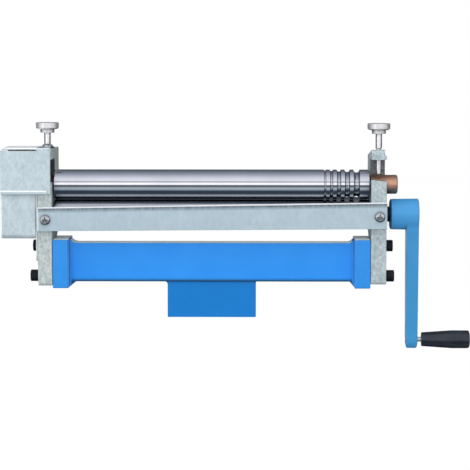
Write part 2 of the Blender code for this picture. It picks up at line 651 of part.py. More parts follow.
def journal_flat(start_x, end_x, angle):
    """The material taken off a journal to leave a drive flat that faces the given angle."""
    low_x, high_x = min(start_x, end_x), max(start_x, end_x)
    shape = block(
        (low_x, high_x), (DRIVE_FLAT_HEIGHT, 2 * JOURNAL_RADIUS), (-JOURNAL_RADIUS, JOURNAL_RADIUS)
    )
    bmesh.ops.rotate(shape, matrix=Matrix.Rotation(angle, 3, "X"), verts=shape.verts)
    return shape


def make_roll(name, left_end_x, right_end_x, groove_widths, finish, parent):
    profile = roll_profile(left_end_x, right_end_x, groove_widths)
    return add_object(name, spun(profile, ROLL_SIDES), finish, parent)


def drill_shaft_end(roll, end_x):
    """Tapped hole for the screw that holds a gear on its journal."""
    depth = GEAR_SCREW_SHANK_LENGTH + SEAT_GAP
    cut(roll, rod(GEAR_SCREW_SHANK_RADIUS + SEAT_GAP, end_x - CUT_OVERRUN, end_x + depth))


# Gears

def involute(angle):
    return math.tan(angle) - angle


def gear_outline(phase):
    """Spur gear outline in (y, z), with the first tooth at the phase angle from +Y."""
    base_radius = GEAR_PITCH_RADIUS * math.cos(GEAR_PRESSURE_ANGLE)
    root_radius = GEAR_PITCH_RADIUS - GEAR_DEDENDUM_SHARE * GEAR_MODULE
    half_tooth = math.pi / (2 * GEAR_TEETH) - GEAR_THINNING / GEAR_PITCH_RADIUS
    flank = [(root_radius, half_tooth + involute(GEAR_PRESSURE_ANGLE))]
    for step in range(GEAR_FLANK_STEPS + 1):
        radius = base_radius + (GEAR_TIP_RADIUS - base_radius) * step / GEAR_FLANK_STEPS
        spread = involute(math.acos(min(base_radius / radius, 1)))
        flank.append((radius, half_tooth + involute(GEAR_PRESSURE_ANGLE) - spread))
    points = []
    for tooth in range(GEAR_TEETH):
        middle = phase + 2 * math.pi * tooth / GEAR_TEETH
        sides = [(r, middle - a) for r, a in flank] + [(r, middle + a) for r, a in reversed(flank)]
        points += [(r * math.cos(a), r * math.sin(a)) for r, a in sides]
    return points


def make_gear(name, phase, finish, parent):
    gear = add_object(name, prism(gear_outline(phase), -GEAR_OUTER_X, -GEAR_INNER_X), finish, parent)
    bore = flat_bore(
        JOURNAL_RADIUS + SEAT_GAP, DRIVE_FLAT_HEIGHT + SEAT_GAP, -GEAR_OUTER_X - CUT_OVERRUN,
        -GEAR_INNER_X + CUT_OVERRUN, 90,
    )
    cut(gear, bore)


def make_gear_fixings(prefix, washer_finish, screw_finish, parent):
    """Washer and hexagon screw on a journal's left end."""
    washer_x = -GEAR_OUTER_X - SEAT_GAP
    washer = rod(
        GEAR_WASHER_RADIUS, washer_x - GEAR_WASHER_THICKNESS, washer_x, sides=SHAFT_SIDES
    )
    washer_object = add_object(f"{prefix}_gear_washer", washer, washer_finish, parent)
    hole_low = washer_x - GEAR_WASHER_THICKNESS - CUT_OVERRUN
    cut(washer_object, rod(GEAR_SCREW_SHANK_RADIUS + SEAT_GAP, hole_low, washer_x + CUT_OVERRUN))
    head_x = washer_x - GEAR_WASHER_THICKNESS - SEAT_GAP
    shank_end = -GEAR_OUTER_X + GEAR_SCREW_SHANK_LENGTH
    head = rod(GEAR_SCREW_HEAD_RADIUS, head_x - GEAR_SCREW_HEAD_HEIGHT, head_x, sides=HEXAGON_SIDES)
    screw = add_object(f"{prefix}_gear_screw", head, screw_finish, parent)
    fuse(screw, rod(GEAR_SCREW_SHANK_RADIUS, head_x - FUSE_OVERLAP, shank_end))


# Bearings

def make_bush(name, outer_radius, low_x, high_x, finish, parent, end_round=0):
    profile = [(low_x, 0), (low_x, outer_radius), (high_x - end_round, outer_radius)]
    if end_round:
        profile.append((high_x, outer_radius - end_round))
    profile.append((high_x, 0))
    bush = add_object(name, spun(profile, SHAFT_SIDES), finish, parent)
    bore_span = (low_x - CUT_OVERRUN, high_x + CUT_OVERRUN)
    cut(bush, rod(JOURNAL_RADIUS + SEAT_GAP, *bore_span, sides=SHAFT_SIDES))


def make_rear_block(name, side, finish, parent):
    """Sliding block in the slanted slot. The right one has an outer flange that keeps it in."""
    def rectangle(margin):
        half_width = REAR_BLOCK_HALF_WIDTH + margin
        half_height = REAR_BLOCK_HALF_HEIGHT + margin
        return (-half_width, half_width), (-half_height, half_height)

    inner_x = FRAME_INNER_X + SEAT_GAP
    end_x = abs(OUTER_X[side])
    x_span = sorted((side * inner_x, side * end_x))
    bearing = add_object(name, block(x_span, *rectangle(0)), finish, parent)
    if side > 0:
        flange_x = end_x + SEAT_GAP
        end_x = flange_x + REAR_FLANGE_THICKNESS
        fuse(bearing, block((flange_x - FUSE_OVERLAP, flange_x), *rectangle(0)))
        fuse(bearing, block((flange_x, end_x), *rectangle(REAR_FLANGE_MARGIN)))
    bore_span = sorted((side * (inner_x - CUT_OVERRUN), side * (end_x + CUT_OVERRUN)))
    cut(bearing, rod(JOURNAL_RADIUS + SEAT_GAP, *bore_span, sides=SHAFT_SIDES))


# Screws with knobs

def screw_profile(tip_z, neck_z, top_z):
    return [
        (tip_z, 0), (tip_z, THREAD_RADIUS - SCREW_TIP_ROUND), (tip_z + SCREW_TIP_ROUND, THREAD_RADIUS),
        (neck_z, THREAD_RADIUS), (neck_z, NECK_RADIUS), (top_z, NECK_RADIUS), (top_z, 0),
    ]


def knob_profile(collar_z):
    """Collar and rim of a knob, with a shallow groove round the rim."""
    rim_z = collar_z + COLLAR_HEIGHT
    top_z = rim_z + KNOB_HEIGHT
    middle_z = rim_z + KNOB_HEIGHT / 2
    shoulder = KNOB_RADIUS - KNOB_EDGE_ROUND
    return [
        (collar_z, 0), (collar_z, COLLAR_RADIUS), (rim_z, COLLAR_RADIUS), (rim_z, shoulder),
        (rim_z + KNOB_EDGE_ROUND, KNOB_RADIUS), (middle_z - KNOB_GROOVE_WIDTH / 2, KNOB_RADIUS),
        (middle_z, KNOB_RADIUS - KNOB_GROOVE_DEPTH), (middle_z + KNOB_GROOVE_WIDTH / 2, KNOB_RADIUS),
        (top_z - KNOB_EDGE_ROUND, KNOB_RADIUS), (top_z, shoulder), (top_z, 0),
    ]


def make_screw_and_knob(prefix, tip_z, neck_z, collar_z, direction, finishes, parent):
    """A plain screw whose neck ends in a blind bore of its knob."""
    end_z = collar_z + KNOB_BORE_DEPTH - SEAT_GAP
    screw = spun(screw_profile(tip_z, neck_z, end_z), SCREW_SIDES, direction)
    add_object(f"{prefix}_screw", screw, finishes["bright_steel"], parent)
    knob_shape = spun(knob_profile(collar_z), SHAFT_SIDES, direction)
    knob = add_object(f"{prefix}_knob", knob_shape, finishes["bright_steel"], parent)
    bore_span = (collar_z - CUT_OVERRUN, collar_z + KNOB_BORE_DEPTH)
    cut(knob, rod(NECK_RADIUS + SEAT_GAP, *bore_span, direction=direction))


def make_jam_nut(finish):
    corner_radius = JAM_NUT_ACROSS_FLATS / 2 / math.cos(math.pi / HEXAGON_SIDES)
    base_z = FRAME_TOP_Z + SEAT_GAP
    rim_z, top_z = base_z + JAM_NUT_RIM_HEIGHT, base_z + JAM_NUT_HEIGHT
    profile = [
        (base_z, 0), (base_z, corner_radius), (rim_z, corner_radius), (top_z, JAM_NUT_TOP_RADIUS),
        (top_z, 0),
    ]
    shape = spun(profile, HEXAGON_SIDES, "Z")
    nut = add_object("jam_nut", shape, finish, location=(SCREW_X[-1], 0, 0))
    bore_span = (base_z - CUT_OVERRUN, top_z + CUT_OVERRUN)
    cut(nut, rod(THREAD_RADIUS + SEAT_GAP, *bore_span, direction="Z"))


# Fasteners

def make_cap_screws(finish):
    """Four socket screws that clamp the frames to the flanges."""
    head_low = SEAT_GAP
    head_top = head_low + CAP_HEAD_HEIGHT
    profile = [
        (-CAP_SHANK_LENGTH, 0), (-CAP_SHANK_LENGTH, CAP_SHANK_RADIUS),
        (head_low, CAP_SHANK_RADIUS), (head_low, CAP_HEAD_RADIUS),
        (head_top - CAP_HEAD_ROUND, CAP_HEAD_RADIUS), (head_top, CAP_HEAD_RADIUS - CAP_HEAD_ROUND),
        (head_top, 0),
    ]
    first = None
    for side, side_name in ((-1, "left"), (1, "right")):
        for place_name, (y, z) in CAP_PLACES.items():
            name = f"frame_screw_{side_name}_{place_name}"
            location = (OUTER_X[side], y, z)
            rotation = (0, 0, 0) if side > 0 else (0, 0, math.pi)
            if first:
                copy_object(first, name, location=location, rotation=rotation)
                continue
            first = add_object(
                name, spun(profile, SCREW_SIDES), finish, location=location, rotation=rotation
            )
            socket_span = (head_top - CAP_SOCKET_DEPTH, head_top + CUT_OVERRUN)
            cut(first, rod(CAP_SOCKET_RADIUS, *socket_span, sides=HEXAGON_SIDES))


def make_pan_screw(name, grip_length, finish, location, direction):
    """A cross-recess screw whose head starts at its origin and whose shank runs the other way."""
    shank_end = -(grip_length + PAN_BITE)
    rise = PAN_HEAD_HEIGHT
    crown = [(rise * height, PAN_HEAD_RADIUS * width) for height, width in PAN_CROWN_SHARES]
    profile = [
        (shank_end, 0), (shank_end, PAN_SHANK_RADIUS), (0, PAN_SHANK_RADIUS), (0, PAN_HEAD_RADIUS),
        *crown, (rise, 0),
    ]
    screw = add_object(name, spun(profile, SCREW_SIDES, direction), finish, location=location)
    half_length, half_width = PAN_CROSS_LENGTH / 2, PAN_CROSS_WIDTH / 2
    depth_span = (rise - PAN_CROSS_DEPTH, rise + CUT_OVERRUN)
    for half_x, half_y in ((half_length, half_width), (half_width, half_length)):
        arm = block((-half_x, half_x), (-half_y, half_y), depth_span)
        cut(screw, turned_to(arm, direction))


# Guard bar

def bar_section(x, top_z, height):
    """Section of the bar, with the long bevel along its upper front edge."""
    back_y = FRAME_FRONT_Y - SEAT_GAP
    front_y = back_y - BAR_THICKNESS
    return [
        (x, front_y, top_z - height), (x, back_y, top_z - height), (x, back_y, top_z),
        (x, front_y + BAR_TOP_BEVEL, top_z), (x, front_y, top_z - BAR_TOP_BEVEL),
    ]


def make_guard_bar(finishes):
    left_x = -LEFT_OUTER_X + BAR_END_INSET_LEFT
    right_x = RIGHT_OUTER_X + BAR_END_OVERHANG_RIGHT
    shape = bmesh.new()
    ends = []
    for x, key, height in ((left_x, "left", BAR_LEFT_HEIGHT), (right_x, "right", BAR_RIGHT_HEIGHT)):
        ends.append([shape.verts.new(point) for point in bar_section(x, BAR_TOPS[key], height)])
        shape.faces.new(ends[-1])
    for i in range(len(ends[0])):
        j = (i + 1) % len(ends[0])
        shape.faces.new((ends[0][i], ends[0][j], ends[1][j], ends[1][i]))
    bar = add_object("guard_bar", shape, finishes["galvanised"])
    back_y = FRAME_FRONT_Y - SEAT_GAP
    front_y = back_y - BAR_THICKNESS
    for side, key in ((-1, "left"), (1, "right")):
        x, z = SCREW_X[side], BAR_SCREW_HEIGHTS[key]
        hole = rod(
            PAN_SHANK_RADIUS + SEAT_GAP, front_y - CUT_OVERRUN, back_y + CUT_OVERRUN,
            direction="Y", centre=(x, 0, z),
        )
        cut(bar, hole)
        location = (x, front_y - SEAT_GAP, z)
        make_pan_screw(
            f"guard_bar_screw_{key}", BAR_THICKNESS + 2 * SEAT_GAP, finishes["bright_steel"],
            location, "-Y",
        )


# Gear cover

def make_gear_cover(finish):
    """Cast shell over the gears: a proud upper half with a flap over the frame, a lower half."""
    top_z = FRAME_TOP_Z + COVER_TOP_RISE
    split_z = TOP_AXIS_Z - COVER_SPLIT_DROP
    bottom_z = LOWER_AXIS_Z - COVER_BOTTOM_DROP
    lower_front_y = FRAME_FRONT_Y - COVER_LOWER_PROUD
    upper_front_y = lower_front_y - COVER_STEP
    flap_x, flap_back_y = -FRAME_INNER_X - COVER_FLAP_INSET, FRAME_FRONT_Y - SEAT_GAP
    upper = [
        (-COVER_OUTER_X, upper_front_y), (flap_x, upper_front_y), (flap_x, flap_back_y),
        (-COVER_RIM_X, flap_back_y), (-COVER_RIM_X, COVER_BACK_Y), (-COVER_OUTER_X, COVER_BACK_Y),
    ]
    cover = add_object("gear_cover", prism(upper, split_z, top_z, "Z"), finish)
    soften(cover, COVER_EDGE_ROUND)
    lower = block(
        (-COVER_OUTER_X, -COVER_RIM_X), (lower_front_y, COVER_BACK_Y),
        (bottom_z, split_z + COVER_EDGE_ROUND + FUSE_OVERLAP),
    )
    fuse(cover, lower, COVER_EDGE_ROUND)
    outer_x, beyond_x = -COVER_OUTER_X, -COVER_OUTER_X - CUT_OVERRUN
    corner = [
        (outer_x, top_z - COVER_CORNER_CUT), (outer_x + COVER_CORNER_CUT, top_z),
        (outer_x + COVER_CORNER_CUT, top_z + CUT_OVERRUN), (beyond_x, top_z + CUT_OVERRUN),
        (beyond_x, top_z - COVER_CORNER_CUT),
    ]
    cut(cover, prism(corner, upper_front_y - CUT_OVERRUN, COVER_BACK_Y + CUT_OVERRUN, "Y"))
    cavity = block(
        (-COVER_OUTER_X + COVER_WALL, -COVER_RIM_X + CUT_OVERRUN),
        (lower_front_y + COVER_WALL, COVER_BACK_Y - COVER_WALL),
        (bottom_z + COVER_WALL, top_z - COVER_WALL - COVER_TOP_RISE),
    )
    cut(cover, cavity)
    for z in COVER_SCREW_HEIGHTS.values():
        post_low = -COVER_OUTER_X + COVER_WALL / 2
        fuse(cover, rod(COVER_POST_RADIUS, post_low, -COVER_RIM_X, centre=(0, COVER_POST_Y, z)))
        hole_span = (-COVER_OUTER_X - CUT_OVERRUN, -COVER_RIM_X + CUT_OVERRUN)
        cut(cover, rod(PAN_SHANK_RADIUS + SEAT_GAP, *hole_span, centre=(0, COVER_POST_Y, z)))
    notch_left = -COVER_OUTER_X + NOTCH_INSET
    notch = block(
        (notch_left, notch_left + NOTCH_LENGTH),
        (upper_front_y - CUT_OVERRUN, upper_front_y + NOTCH_DEPTH),
        (top_z - NOTCH_HEIGHT, top_z + CUT_OVERRUN),
    )
    cut(cover, notch)


def make_cover_screws(finish):
    grip_length = COVER_OUTER_X + SEAT_GAP - LEFT_OUTER_X
    for key, z in COVER_SCREW_HEIGHTS.items():
        location = (-COVER_OUTER_X - SEAT_GAP, COVER_POST_Y, z)
        make_pan_screw(f"cover_screw_{key}", grip_length, finish, location, "-X")


def make_cover_back_plate(finish):
    """Sheet between the left frame and the gears, which also keeps the sliding blocks in."""
    front_y = FRAME_FRONT_Y + BACK_PLATE_FRONT_INSET
    back_y = FRAME_BACK_Y - BACK_PLATE_BACK_INSET
    bottom_z = LOWER_AXIS_Z - BACK_PLATE_DROP
    outline = rounded([
        (front_y, bottom_z), (FRAME_LOW_BACK_Y, bottom_z), (FRAME_LOW_BACK_Y, UNDERSIDE_FRONT_Z),
        (back_y, UNDERSIDE_BACK_Z), (back_y, FRAME_TOP_Z), (front_y, FRAME_TOP_Z),
    ], BACK_PLATE_CORNER)
    low_x = -BACK_PLATE_OUTER_X
    high_x = low_x + BACK_PLATE_THICKNESS
    plate = add_object("cover_back_plate", prism(outline, low_x, high_x), finish)
    span = (low_x - CUT_OVERRUN, high_x + CUT_OVERRUN)
    hole_radius = JOURNAL_RADIUS + SHAFT_CLEARANCE
    cut(plate, rod(hole_radius, *span, centre=(0, 0, LOWER_AXIS_Z)))
    slot = arc((0, TOP_AXIS_Z), hole_radius, 180, 360, HALF_TURN_STEPS)
    slot += arc((0, TOP_AXIS_Z + ROLL_LIFT), hole_radius, 0, 180, HALF_TURN_STEPS)
    cut(plate, prism(slot, *span))
    for z in COVER_SCREW_HEIGHTS.values():
        cut(plate, rod(PAN_SHANK_RADIUS + SEAT_GAP, *span, centre=(0, COVER_POST_Y, z)))
    screw_y, screw_z = CAP_PLACES["upper"]
    cut(plate, rod(CAP_HEAD_RADIUS + 2 * SEAT_GAP, *span, centre=(0, screw_y, screw_z)))


# Crank

def arm_outline():
    """Side view of the crank arm: the hub's round, two hollow shoulders and a tapering arm."""
    hollow_y = CRANK_ARM_ROOT_HALF_WIDTH + CRANK_SHOULDER_RADIUS
    reach = CRANK_HUB_RADIUS + CRANK_SHOULDER_RADIUS
    hollow_z = -math.sqrt(reach ** 2 - hollow_y ** 2)
    drop = math.degrees(math.atan2(-hollow_z, hollow_y))
    hub = arc((0, 0), CRANK_HUB_RADIUS, -drop, 180 + drop, HALF_TURN_STEPS)
    rear = arc(
        (hollow_y, hollow_z), CRANK_SHOULDER_RADIUS, 180, 180 - drop, CRANK_SHOULDER_STEPS
    )
    front = [(-y, z) for y, z in reversed(rear)]
    end = arc((0, -CRANK_RADIUS), CRANK_END_RADIUS, 180, 360, HALF_TURN_STEPS)
    return hub + front[1:] + end + rear[:-1]


def make_crank_arm(finish, parent):
    crank = add_object("crank_arm", prism(arm_outline(), CRANK_ARM_X, CRANK_OUTER_X), finish, parent)
    boss = spun([
        (CRANK_NOSE_X, 0), (CRANK_NOSE_X, CRANK_HUB_NOSE_RADIUS - CRANK_EDGE_ROUND),
        (CRANK_NOSE_X + CRANK_EDGE_ROUND, CRANK_HUB_NOSE_RADIUS),
        (CRANK_ARM_X + FUSE_OVERLAP, CRANK_HUB_RADIUS - SEAT_GAP), (CRANK_ARM_X + FUSE_OVERLAP, 0),
    ], SHAFT_SIDES)
    soften(crank, CRANK_EDGE_ROUND, 2)
    fuse(crank, boss)
    bore = flat_bore(
        JOURNAL_RADIUS + SEAT_GAP, DRIVE_FLAT_HEIGHT + SEAT_GAP, CRANK_NOSE_X - CUT_OVERRUN,
        CRANK_OUTER_X + CUT_OVERRUN, 0,
    )
    cut(crank, bore)
    pin_hole = rod(
        GRIP_PIN_RADIUS + SEAT_GAP, CRANK_ARM_X - CUT_OVERRUN, CRANK_OUTER_X + CUT_OVERRUN,
        centre=(0, 0, -CRANK_RADIUS),
    )
    cut(crank, pin_hole)
    set_screw_x = CRANK_NOSE_X + SET_SCREW_INSET
    set_screw_hole = rod(
        SET_SCREW_RADIUS + SEAT_GAP, 0, CRANK_HUB_RADIUS + CUT_OVERRUN, direction="Y",
        centre=(set_screw_x, 0, 0),
    )
    cut(crank, set_screw_hole)


def make_crank_set_screw(finish, parent):
    start_y = DRIVE_FLAT_HEIGHT + SEAT_GAP
    shape = rod(SET_SCREW_RADIUS, start_y, start_y + SET_SCREW_LENGTH, direction="Y")
    location = (CRANK_NOSE_X + SET_SCREW_INSET, 0, 0)
    add_object("crank_set_screw", shape, finish, parent, location)


def make_shaft_collar(finish, parent):
    low_x, high_x = RIGHT_OUTER_X + SEAT_GAP, CRANK_NOSE_X - SEAT_GAP
    make_bush("shaft_collar", SHAFT_COLLAR_RADIUS, low_x, high_x, finish, parent)


def make_grip_pin(finish, parent):
    head_base = GRIP_INNER_X + GRIP_LENGTH - PIN_HEAD_RECESS - PIN_HEAD_HEIGHT
    profile = [
        (CRANK_ARM_X, 0), (CRANK_ARM_X, GRIP_PIN_RADIUS), (head_base, GRIP_PIN_RADIUS),
        (head_base, PIN_HEAD_RADIUS), (head_base + PIN_HEAD_HEIGHT, PIN_HEAD_RADIUS),
        (head_base + PIN_HEAD_HEIGHT, 0),
    ]
    add_object("grip_pin", spun(profile, SCREW_SIDES), finish, parent, (0, 0, -CRANK_RADIUS))


def make_grip(finish, parent):
    """Revolving grip that swells away from the crank, with shallow flutes along it."""
    taper_x = GRIP_LENGTH * GRIP_TAPER_SHARE
    profile = [
        (0, 0), (0, GRIP_NECK_RADIUS), (taper_x, GRIP_RADIUS),
        (GRIP_LENGTH - GRIP_END_ROUND, GRIP_RADIUS),
        (GRIP_LENGTH, GRIP_RADIUS - GRIP_END_ROUND), (GRIP_LENGTH, 0),
    ]
    sides = 2 * GRIP_FACETS
    shape = spun(profile, sides)
    for vertex in shape.verts:
        spoke = Vector((0, vertex.co.y, vertex.co.z))
        if spoke.length > GRIP_NECK_RADIUS - GRIP_FACET_DEPTH:
            step = round(math.atan2(spoke.z, spoke.y) / (2 * math.pi) * sides)
            if step % 2:
                vertex.co -= spoke.normalized() * GRIP_FACET_DEPTH
    grip = add_object("grip", shape, finish, parent, (GRIP_INNER_X, 0, 0))
    cut(grip, rod(GRIP_PIN_RADIUS + SEAT_GAP, -CUT_OVERRUN, GRIP_LENGTH + CUT_OVERRUN))
    recess_depth = PIN_HEAD_RECESS + PIN_HEAD_HEIGHT + SEAT_GAP
    recess = rod(
        PIN_HEAD_RADIUS + SEAT_GAP, GRIP_LENGTH - recess_depth, GRIP_LENGTH + CUT_OVERRUN
    )
    cut(grip, recess)


# Assemblies

def build_fixed_pieces(finishes):
    make_base_beam(finishes["blue_paint"])
    make_left_frame(finishes["cast_zinc"])
    make_right_frame(finishes["cast_zinc"])
    make_cap_screws(finishes["black_steel"])
    make_guard_bar(finishes)
    make_gear_cover(finishes["cast_zinc"])
    make_cover_screws(finishes["bright_steel"])
    make_cover_back_plate(finishes["galvanised"])
    make_jam_nut(finishes["bright_steel"])
    lower_axis = joint_frame("lower_bearing_axis", (0, 0, LOWER_AXIS_Z))
    for name, side in (("lower_left_bush", -1), ("lower_right_bush", 1)):
        span = sorted((side * (FRAME_INNER_X + SEAT_GAP), OUTER_X[side]))
        make_bush(name, LOWER_BUSH_RADIUS, *span, finishes["bronze"], lower_axis)


def build_driven_line(finishes):
    """Lower roll with its gear and the crank, all on the crank's axis."""
    axis = joint_frame("crank_axis", (0, 0, LOWER_AXIS_Z))
    gear_end = -GEAR_OUTER_X + SEAT_GAP
    crank_end = CRANK_OUTER_X - CRANK_SHAFT_SHORTFALL
    steel = finishes["polished_steel"]
    roll = make_roll("lower_roll", gear_end, crank_end, GROOVE_WIDTHS, steel, axis)
    cut(roll, journal_flat(gear_end - CUT_OVERRUN, -GEAR_INNER_X + SEAT_GAP, math.pi / 2))
    cut(roll, journal_flat(CRANK_NOSE_X, crank_end + CUT_OVERRUN, 0))
    drill_shaft_end(roll, gear_end)
    tooth_gap_up = math.pi / 2 + math.pi / GEAR_TEETH
    make_gear("lower_gear", tooth_gap_up, finishes["bright_steel"], axis)
    make_gear_fixings("lower", finishes["bright_steel"], finishes["black_steel"], axis)
    make_shaft_collar(finishes["black_steel"], axis)
    make_crank_arm(finishes["blue_paint"], axis)
    make_crank_set_screw(finishes["black_steel"], axis)
    make_grip_pin(finishes["bright_steel"], axis)
    grip_axis = joint_frame("grip_axis", (0, 0, LOWER_AXIS_Z - CRANK_RADIUS))
    make_grip(finishes["black_plastic"], grip_axis)


def build_top_line(finishes):
    """Top roll with its gear, its two bearings and the pressure screws that bear on them."""
    axis = joint_frame("top_roll_axis", (0, 0, TOP_AXIS_Z))
    gear_end = -GEAR_OUTER_X + SEAT_GAP
    free_end = RIGHT_OUTER_X + RELEASE_BUSH_REACH - RELEASE_BUSH_ROUND
    steel = finishes["polished_steel"]
    roll = make_roll("top_roll", gear_end, free_end, GROOVE_WIDTHS, steel, axis)
    cut(roll, journal_flat(gear_end - CUT_OVERRUN, -GEAR_INNER_X + SEAT_GAP, math.pi / 2))
    drill_shaft_end(roll, gear_end)
    make_gear("upper_gear", -math.pi / 2, finishes["bright_steel"], axis)
    make_gear_fixings("upper", finishes["bright_steel"], finishes["black_steel"], axis)
    bush_inner_x = FRAME_INNER_X + SEAT_GAP
    bronze = finishes["bronze"]
    make_bush("top_left_bush", TOP_BUSH_RADIUS, -LEFT_OUTER_X, -bush_inner_x, bronze, axis)
    release_span = (bush_inner_x, RIGHT_OUTER_X + RELEASE_BUSH_REACH)
    make_bush("release_bush", TOP_BUSH_RADIUS, *release_span, bronze, axis, RELEASE_BUSH_ROUND)
    tip_z = TOP_AXIS_Z + TOP_BUSH_RADIUS + SEAT_GAP
    nut_top_z = FRAME_TOP_Z + SEAT_GAP + JAM_NUT_HEIGHT
    for side, prefix, reach, seat_z in (
        (-1, "left_pressure", LEFT_PRESSURE_REACH, nut_top_z),
        (1, "right_pressure", RIGHT_PRESSURE_REACH, FRAME_TOP_Z),
    ):
        screw_axis = joint_frame(f"{prefix}_axis", (SCREW_X[side], 0, tip_z))
        neck_z = seat_z + SEAT_GAP - tip_z
        make_screw_and_knob(prefix, 0, neck_z, reach, "Z", finishes, screw_axis)


def build_rear_line(finishes):
    """Rear roll, its sliding blocks in the slanted slots and their adjusting screws."""
    roll_axis = joint_frame("rear_roll_axis", REAR_LOW, REAR_SLANT)
    low_x, high_x = -LEFT_OUTER_X + SEAT_GAP, RIGHT_OUTER_X - SEAT_GAP
    make_roll("rear_roll", low_x, high_x, (), finishes["polished_steel"], roll_axis)
    make_rear_block("rear_left_block", -1, finishes["bronze"], roll_axis)
    make_rear_block("rear_right_block", 1, finishes["bronze"], roll_axis)
    underside = (UNDERSIDE_BACK_Z - REAR_LOW.z) * REAR_UP.z + (FRAME_BACK_Y - REAR_LOW.y) * REAR_UP.y
    collar_z = -underside + REAR_TRAVEL + REAR_KNOB_MARGIN
    for side, prefix in ((-1, "rear_left"), (1, "rear_right")):
        place = REAR_LOW + Vector((SCREW_X[side], 0, 0))
        screw_axis = joint_frame(f"{prefix}_screw_axis", place, REAR_SLANT)
        tip_z = REAR_BLOCK_HALF_HEIGHT + SEAT_GAP
        neck_z = collar_z - REAR_KNOB_MARGIN / 2
        make_screw_and_knob(prefix, tip_z, neck_z, collar_z, "-Z", finishes, screw_axis)


def main():
    clear_scene()
    finishes = make_materials()
    build_fixed_pieces(finishes)
    build_driven_line(finishes)
    build_top_line(finishes)
    build_rear_line(finishes)


main()
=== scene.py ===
import math

import bmesh
import bpy
from mathutils import Matrix, Vector


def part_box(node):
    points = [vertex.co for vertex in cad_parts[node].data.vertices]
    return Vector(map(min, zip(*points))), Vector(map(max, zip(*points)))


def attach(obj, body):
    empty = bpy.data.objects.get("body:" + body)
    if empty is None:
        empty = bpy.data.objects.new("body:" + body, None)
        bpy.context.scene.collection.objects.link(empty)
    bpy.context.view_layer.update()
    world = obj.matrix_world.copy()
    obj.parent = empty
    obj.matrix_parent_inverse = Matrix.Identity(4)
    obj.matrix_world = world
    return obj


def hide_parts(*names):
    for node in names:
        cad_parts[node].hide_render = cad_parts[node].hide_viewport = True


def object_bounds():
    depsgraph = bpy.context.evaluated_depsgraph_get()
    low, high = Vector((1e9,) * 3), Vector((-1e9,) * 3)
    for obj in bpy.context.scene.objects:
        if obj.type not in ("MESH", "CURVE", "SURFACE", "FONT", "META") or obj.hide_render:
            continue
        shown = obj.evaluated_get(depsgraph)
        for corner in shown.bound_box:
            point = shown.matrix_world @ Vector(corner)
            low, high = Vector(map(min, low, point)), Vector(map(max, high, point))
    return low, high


# Looks for the vise-held slip roll. Metres, X along the rolls, Y away from the operator, Z up.
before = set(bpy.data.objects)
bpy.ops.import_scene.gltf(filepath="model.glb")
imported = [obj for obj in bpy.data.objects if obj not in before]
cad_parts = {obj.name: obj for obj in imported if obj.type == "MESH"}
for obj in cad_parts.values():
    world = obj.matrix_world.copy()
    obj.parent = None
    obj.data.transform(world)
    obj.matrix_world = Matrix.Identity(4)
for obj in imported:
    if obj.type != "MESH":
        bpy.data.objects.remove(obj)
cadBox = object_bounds()

seatGap = 0.0003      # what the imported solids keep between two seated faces
cutOverrun = 0.004
fuseOverlap = 0.002
axisIndex = {"X": 0, "Y": 1, "Z": 2}


def span(node, axis):
    low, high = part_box(node)
    return low[axisIndex[axis]], high[axisIndex[axis]]


def middle(node):
    low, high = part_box(node)
    return (low + high) / 2


# Mesh helpers

def arcPoints(centre, radius, start, end, steps):
    angles = [math.radians(start + (end - start) * i / steps) for i in range(steps + 1)]
    return [(centre[0] + radius * math.cos(a), centre[1] + radius * math.sin(a)) for a in angles]


def roundCorner(before, corner, after, radius, steps):
    corner = Vector(corner)
    a = (Vector(before) - corner).normalized()
    b = (Vector(after) - corner).normalized()
    half = a.angle(b) / 2
    if radius <= 0 or half > math.radians(89):
        return [tuple(corner)]
    centre = corner + (a + b).normalized() * radius / math.sin(half)
    reach = radius / math.tan(half)
    first, last = corner + a * reach - centre, corner + b * reach - centre
    sweep = first.angle(last)
    points = []
    for step in range(steps + 1):
        part = step / steps
        spoke = first * math.sin((1 - part) * sweep) + last * math.sin(part * sweep)
        points.append(tuple(centre + spoke / math.sin(sweep)))
    return points


def roundedOutline(corners, steps=5):
    # corners are (a, b, radius)
    points = []
    for i, (a, b, radius) in enumerate(corners):
        before, after = corners[i - 1][:2], corners[(i + 1) % len(corners)][:2]
        points += roundCorner(before, (a, b), after, radius, steps)
    return points


def roundedProfile(corners, steps=4):
    # an open profile of (along, radius, edge round), whose ends stay as they are
    points = [corners[0][:2]]
    for i in range(1, len(corners) - 1):
        a, b, radius = corners[i]
        points += roundCorner(corners[i - 1][:2], (a, b), corners[i + 1][:2], radius, steps)
    return points + [corners[-1][:2]]


turnsTo = {
    "X": Matrix.Rotation(math.pi / 2, 4, "Y"), "-X": Matrix.Rotation(-math.pi / 2, 4, "Y"),
    "Y": Matrix.Rotation(-math.pi / 2, 4, "X"), "-Y": Matrix.Rotation(math.pi / 2, 4, "X"),
    "Z": Matrix.Identity(4), "-Z": Matrix.Rotation(math.pi, 4, "X"),
}


def turned(profile, sides=64, direction="X", centre=(0, 0, 0)):
    # a closed solid turned from (along, radius) points that start and end on the axis
    shape = bmesh.new()
    rings = []
    for along, radius in profile:
        if radius < 1e-7:
            rings.append([shape.verts.new((0, 0, along))])
            continue
        rings.append([
            shape.verts.new((radius * math.cos(2 * math.pi * i / sides),
                radius * math.sin(2 * math.pi * i / sides), along))
            for i in range(sides)
        ])
    for low, high in zip(rings, rings[1:]):
        for i in range(sides):
            j = (i + 1) % sides
            corners = [low[i % len(low)], low[j % len(low)], high[j % len(high)], high[i % len(high)]]
            unique = list(dict.fromkeys(corners))
            if len(unique) > 2:
                shape.faces.new(unique)
    bmesh.ops.transform(shape, matrix=Matrix.Translation(centre) @ turnsTo[direction], verts=shape.verts)
    bmesh.ops.recalc_face_normals(shape, faces=shape.faces)
    return shape


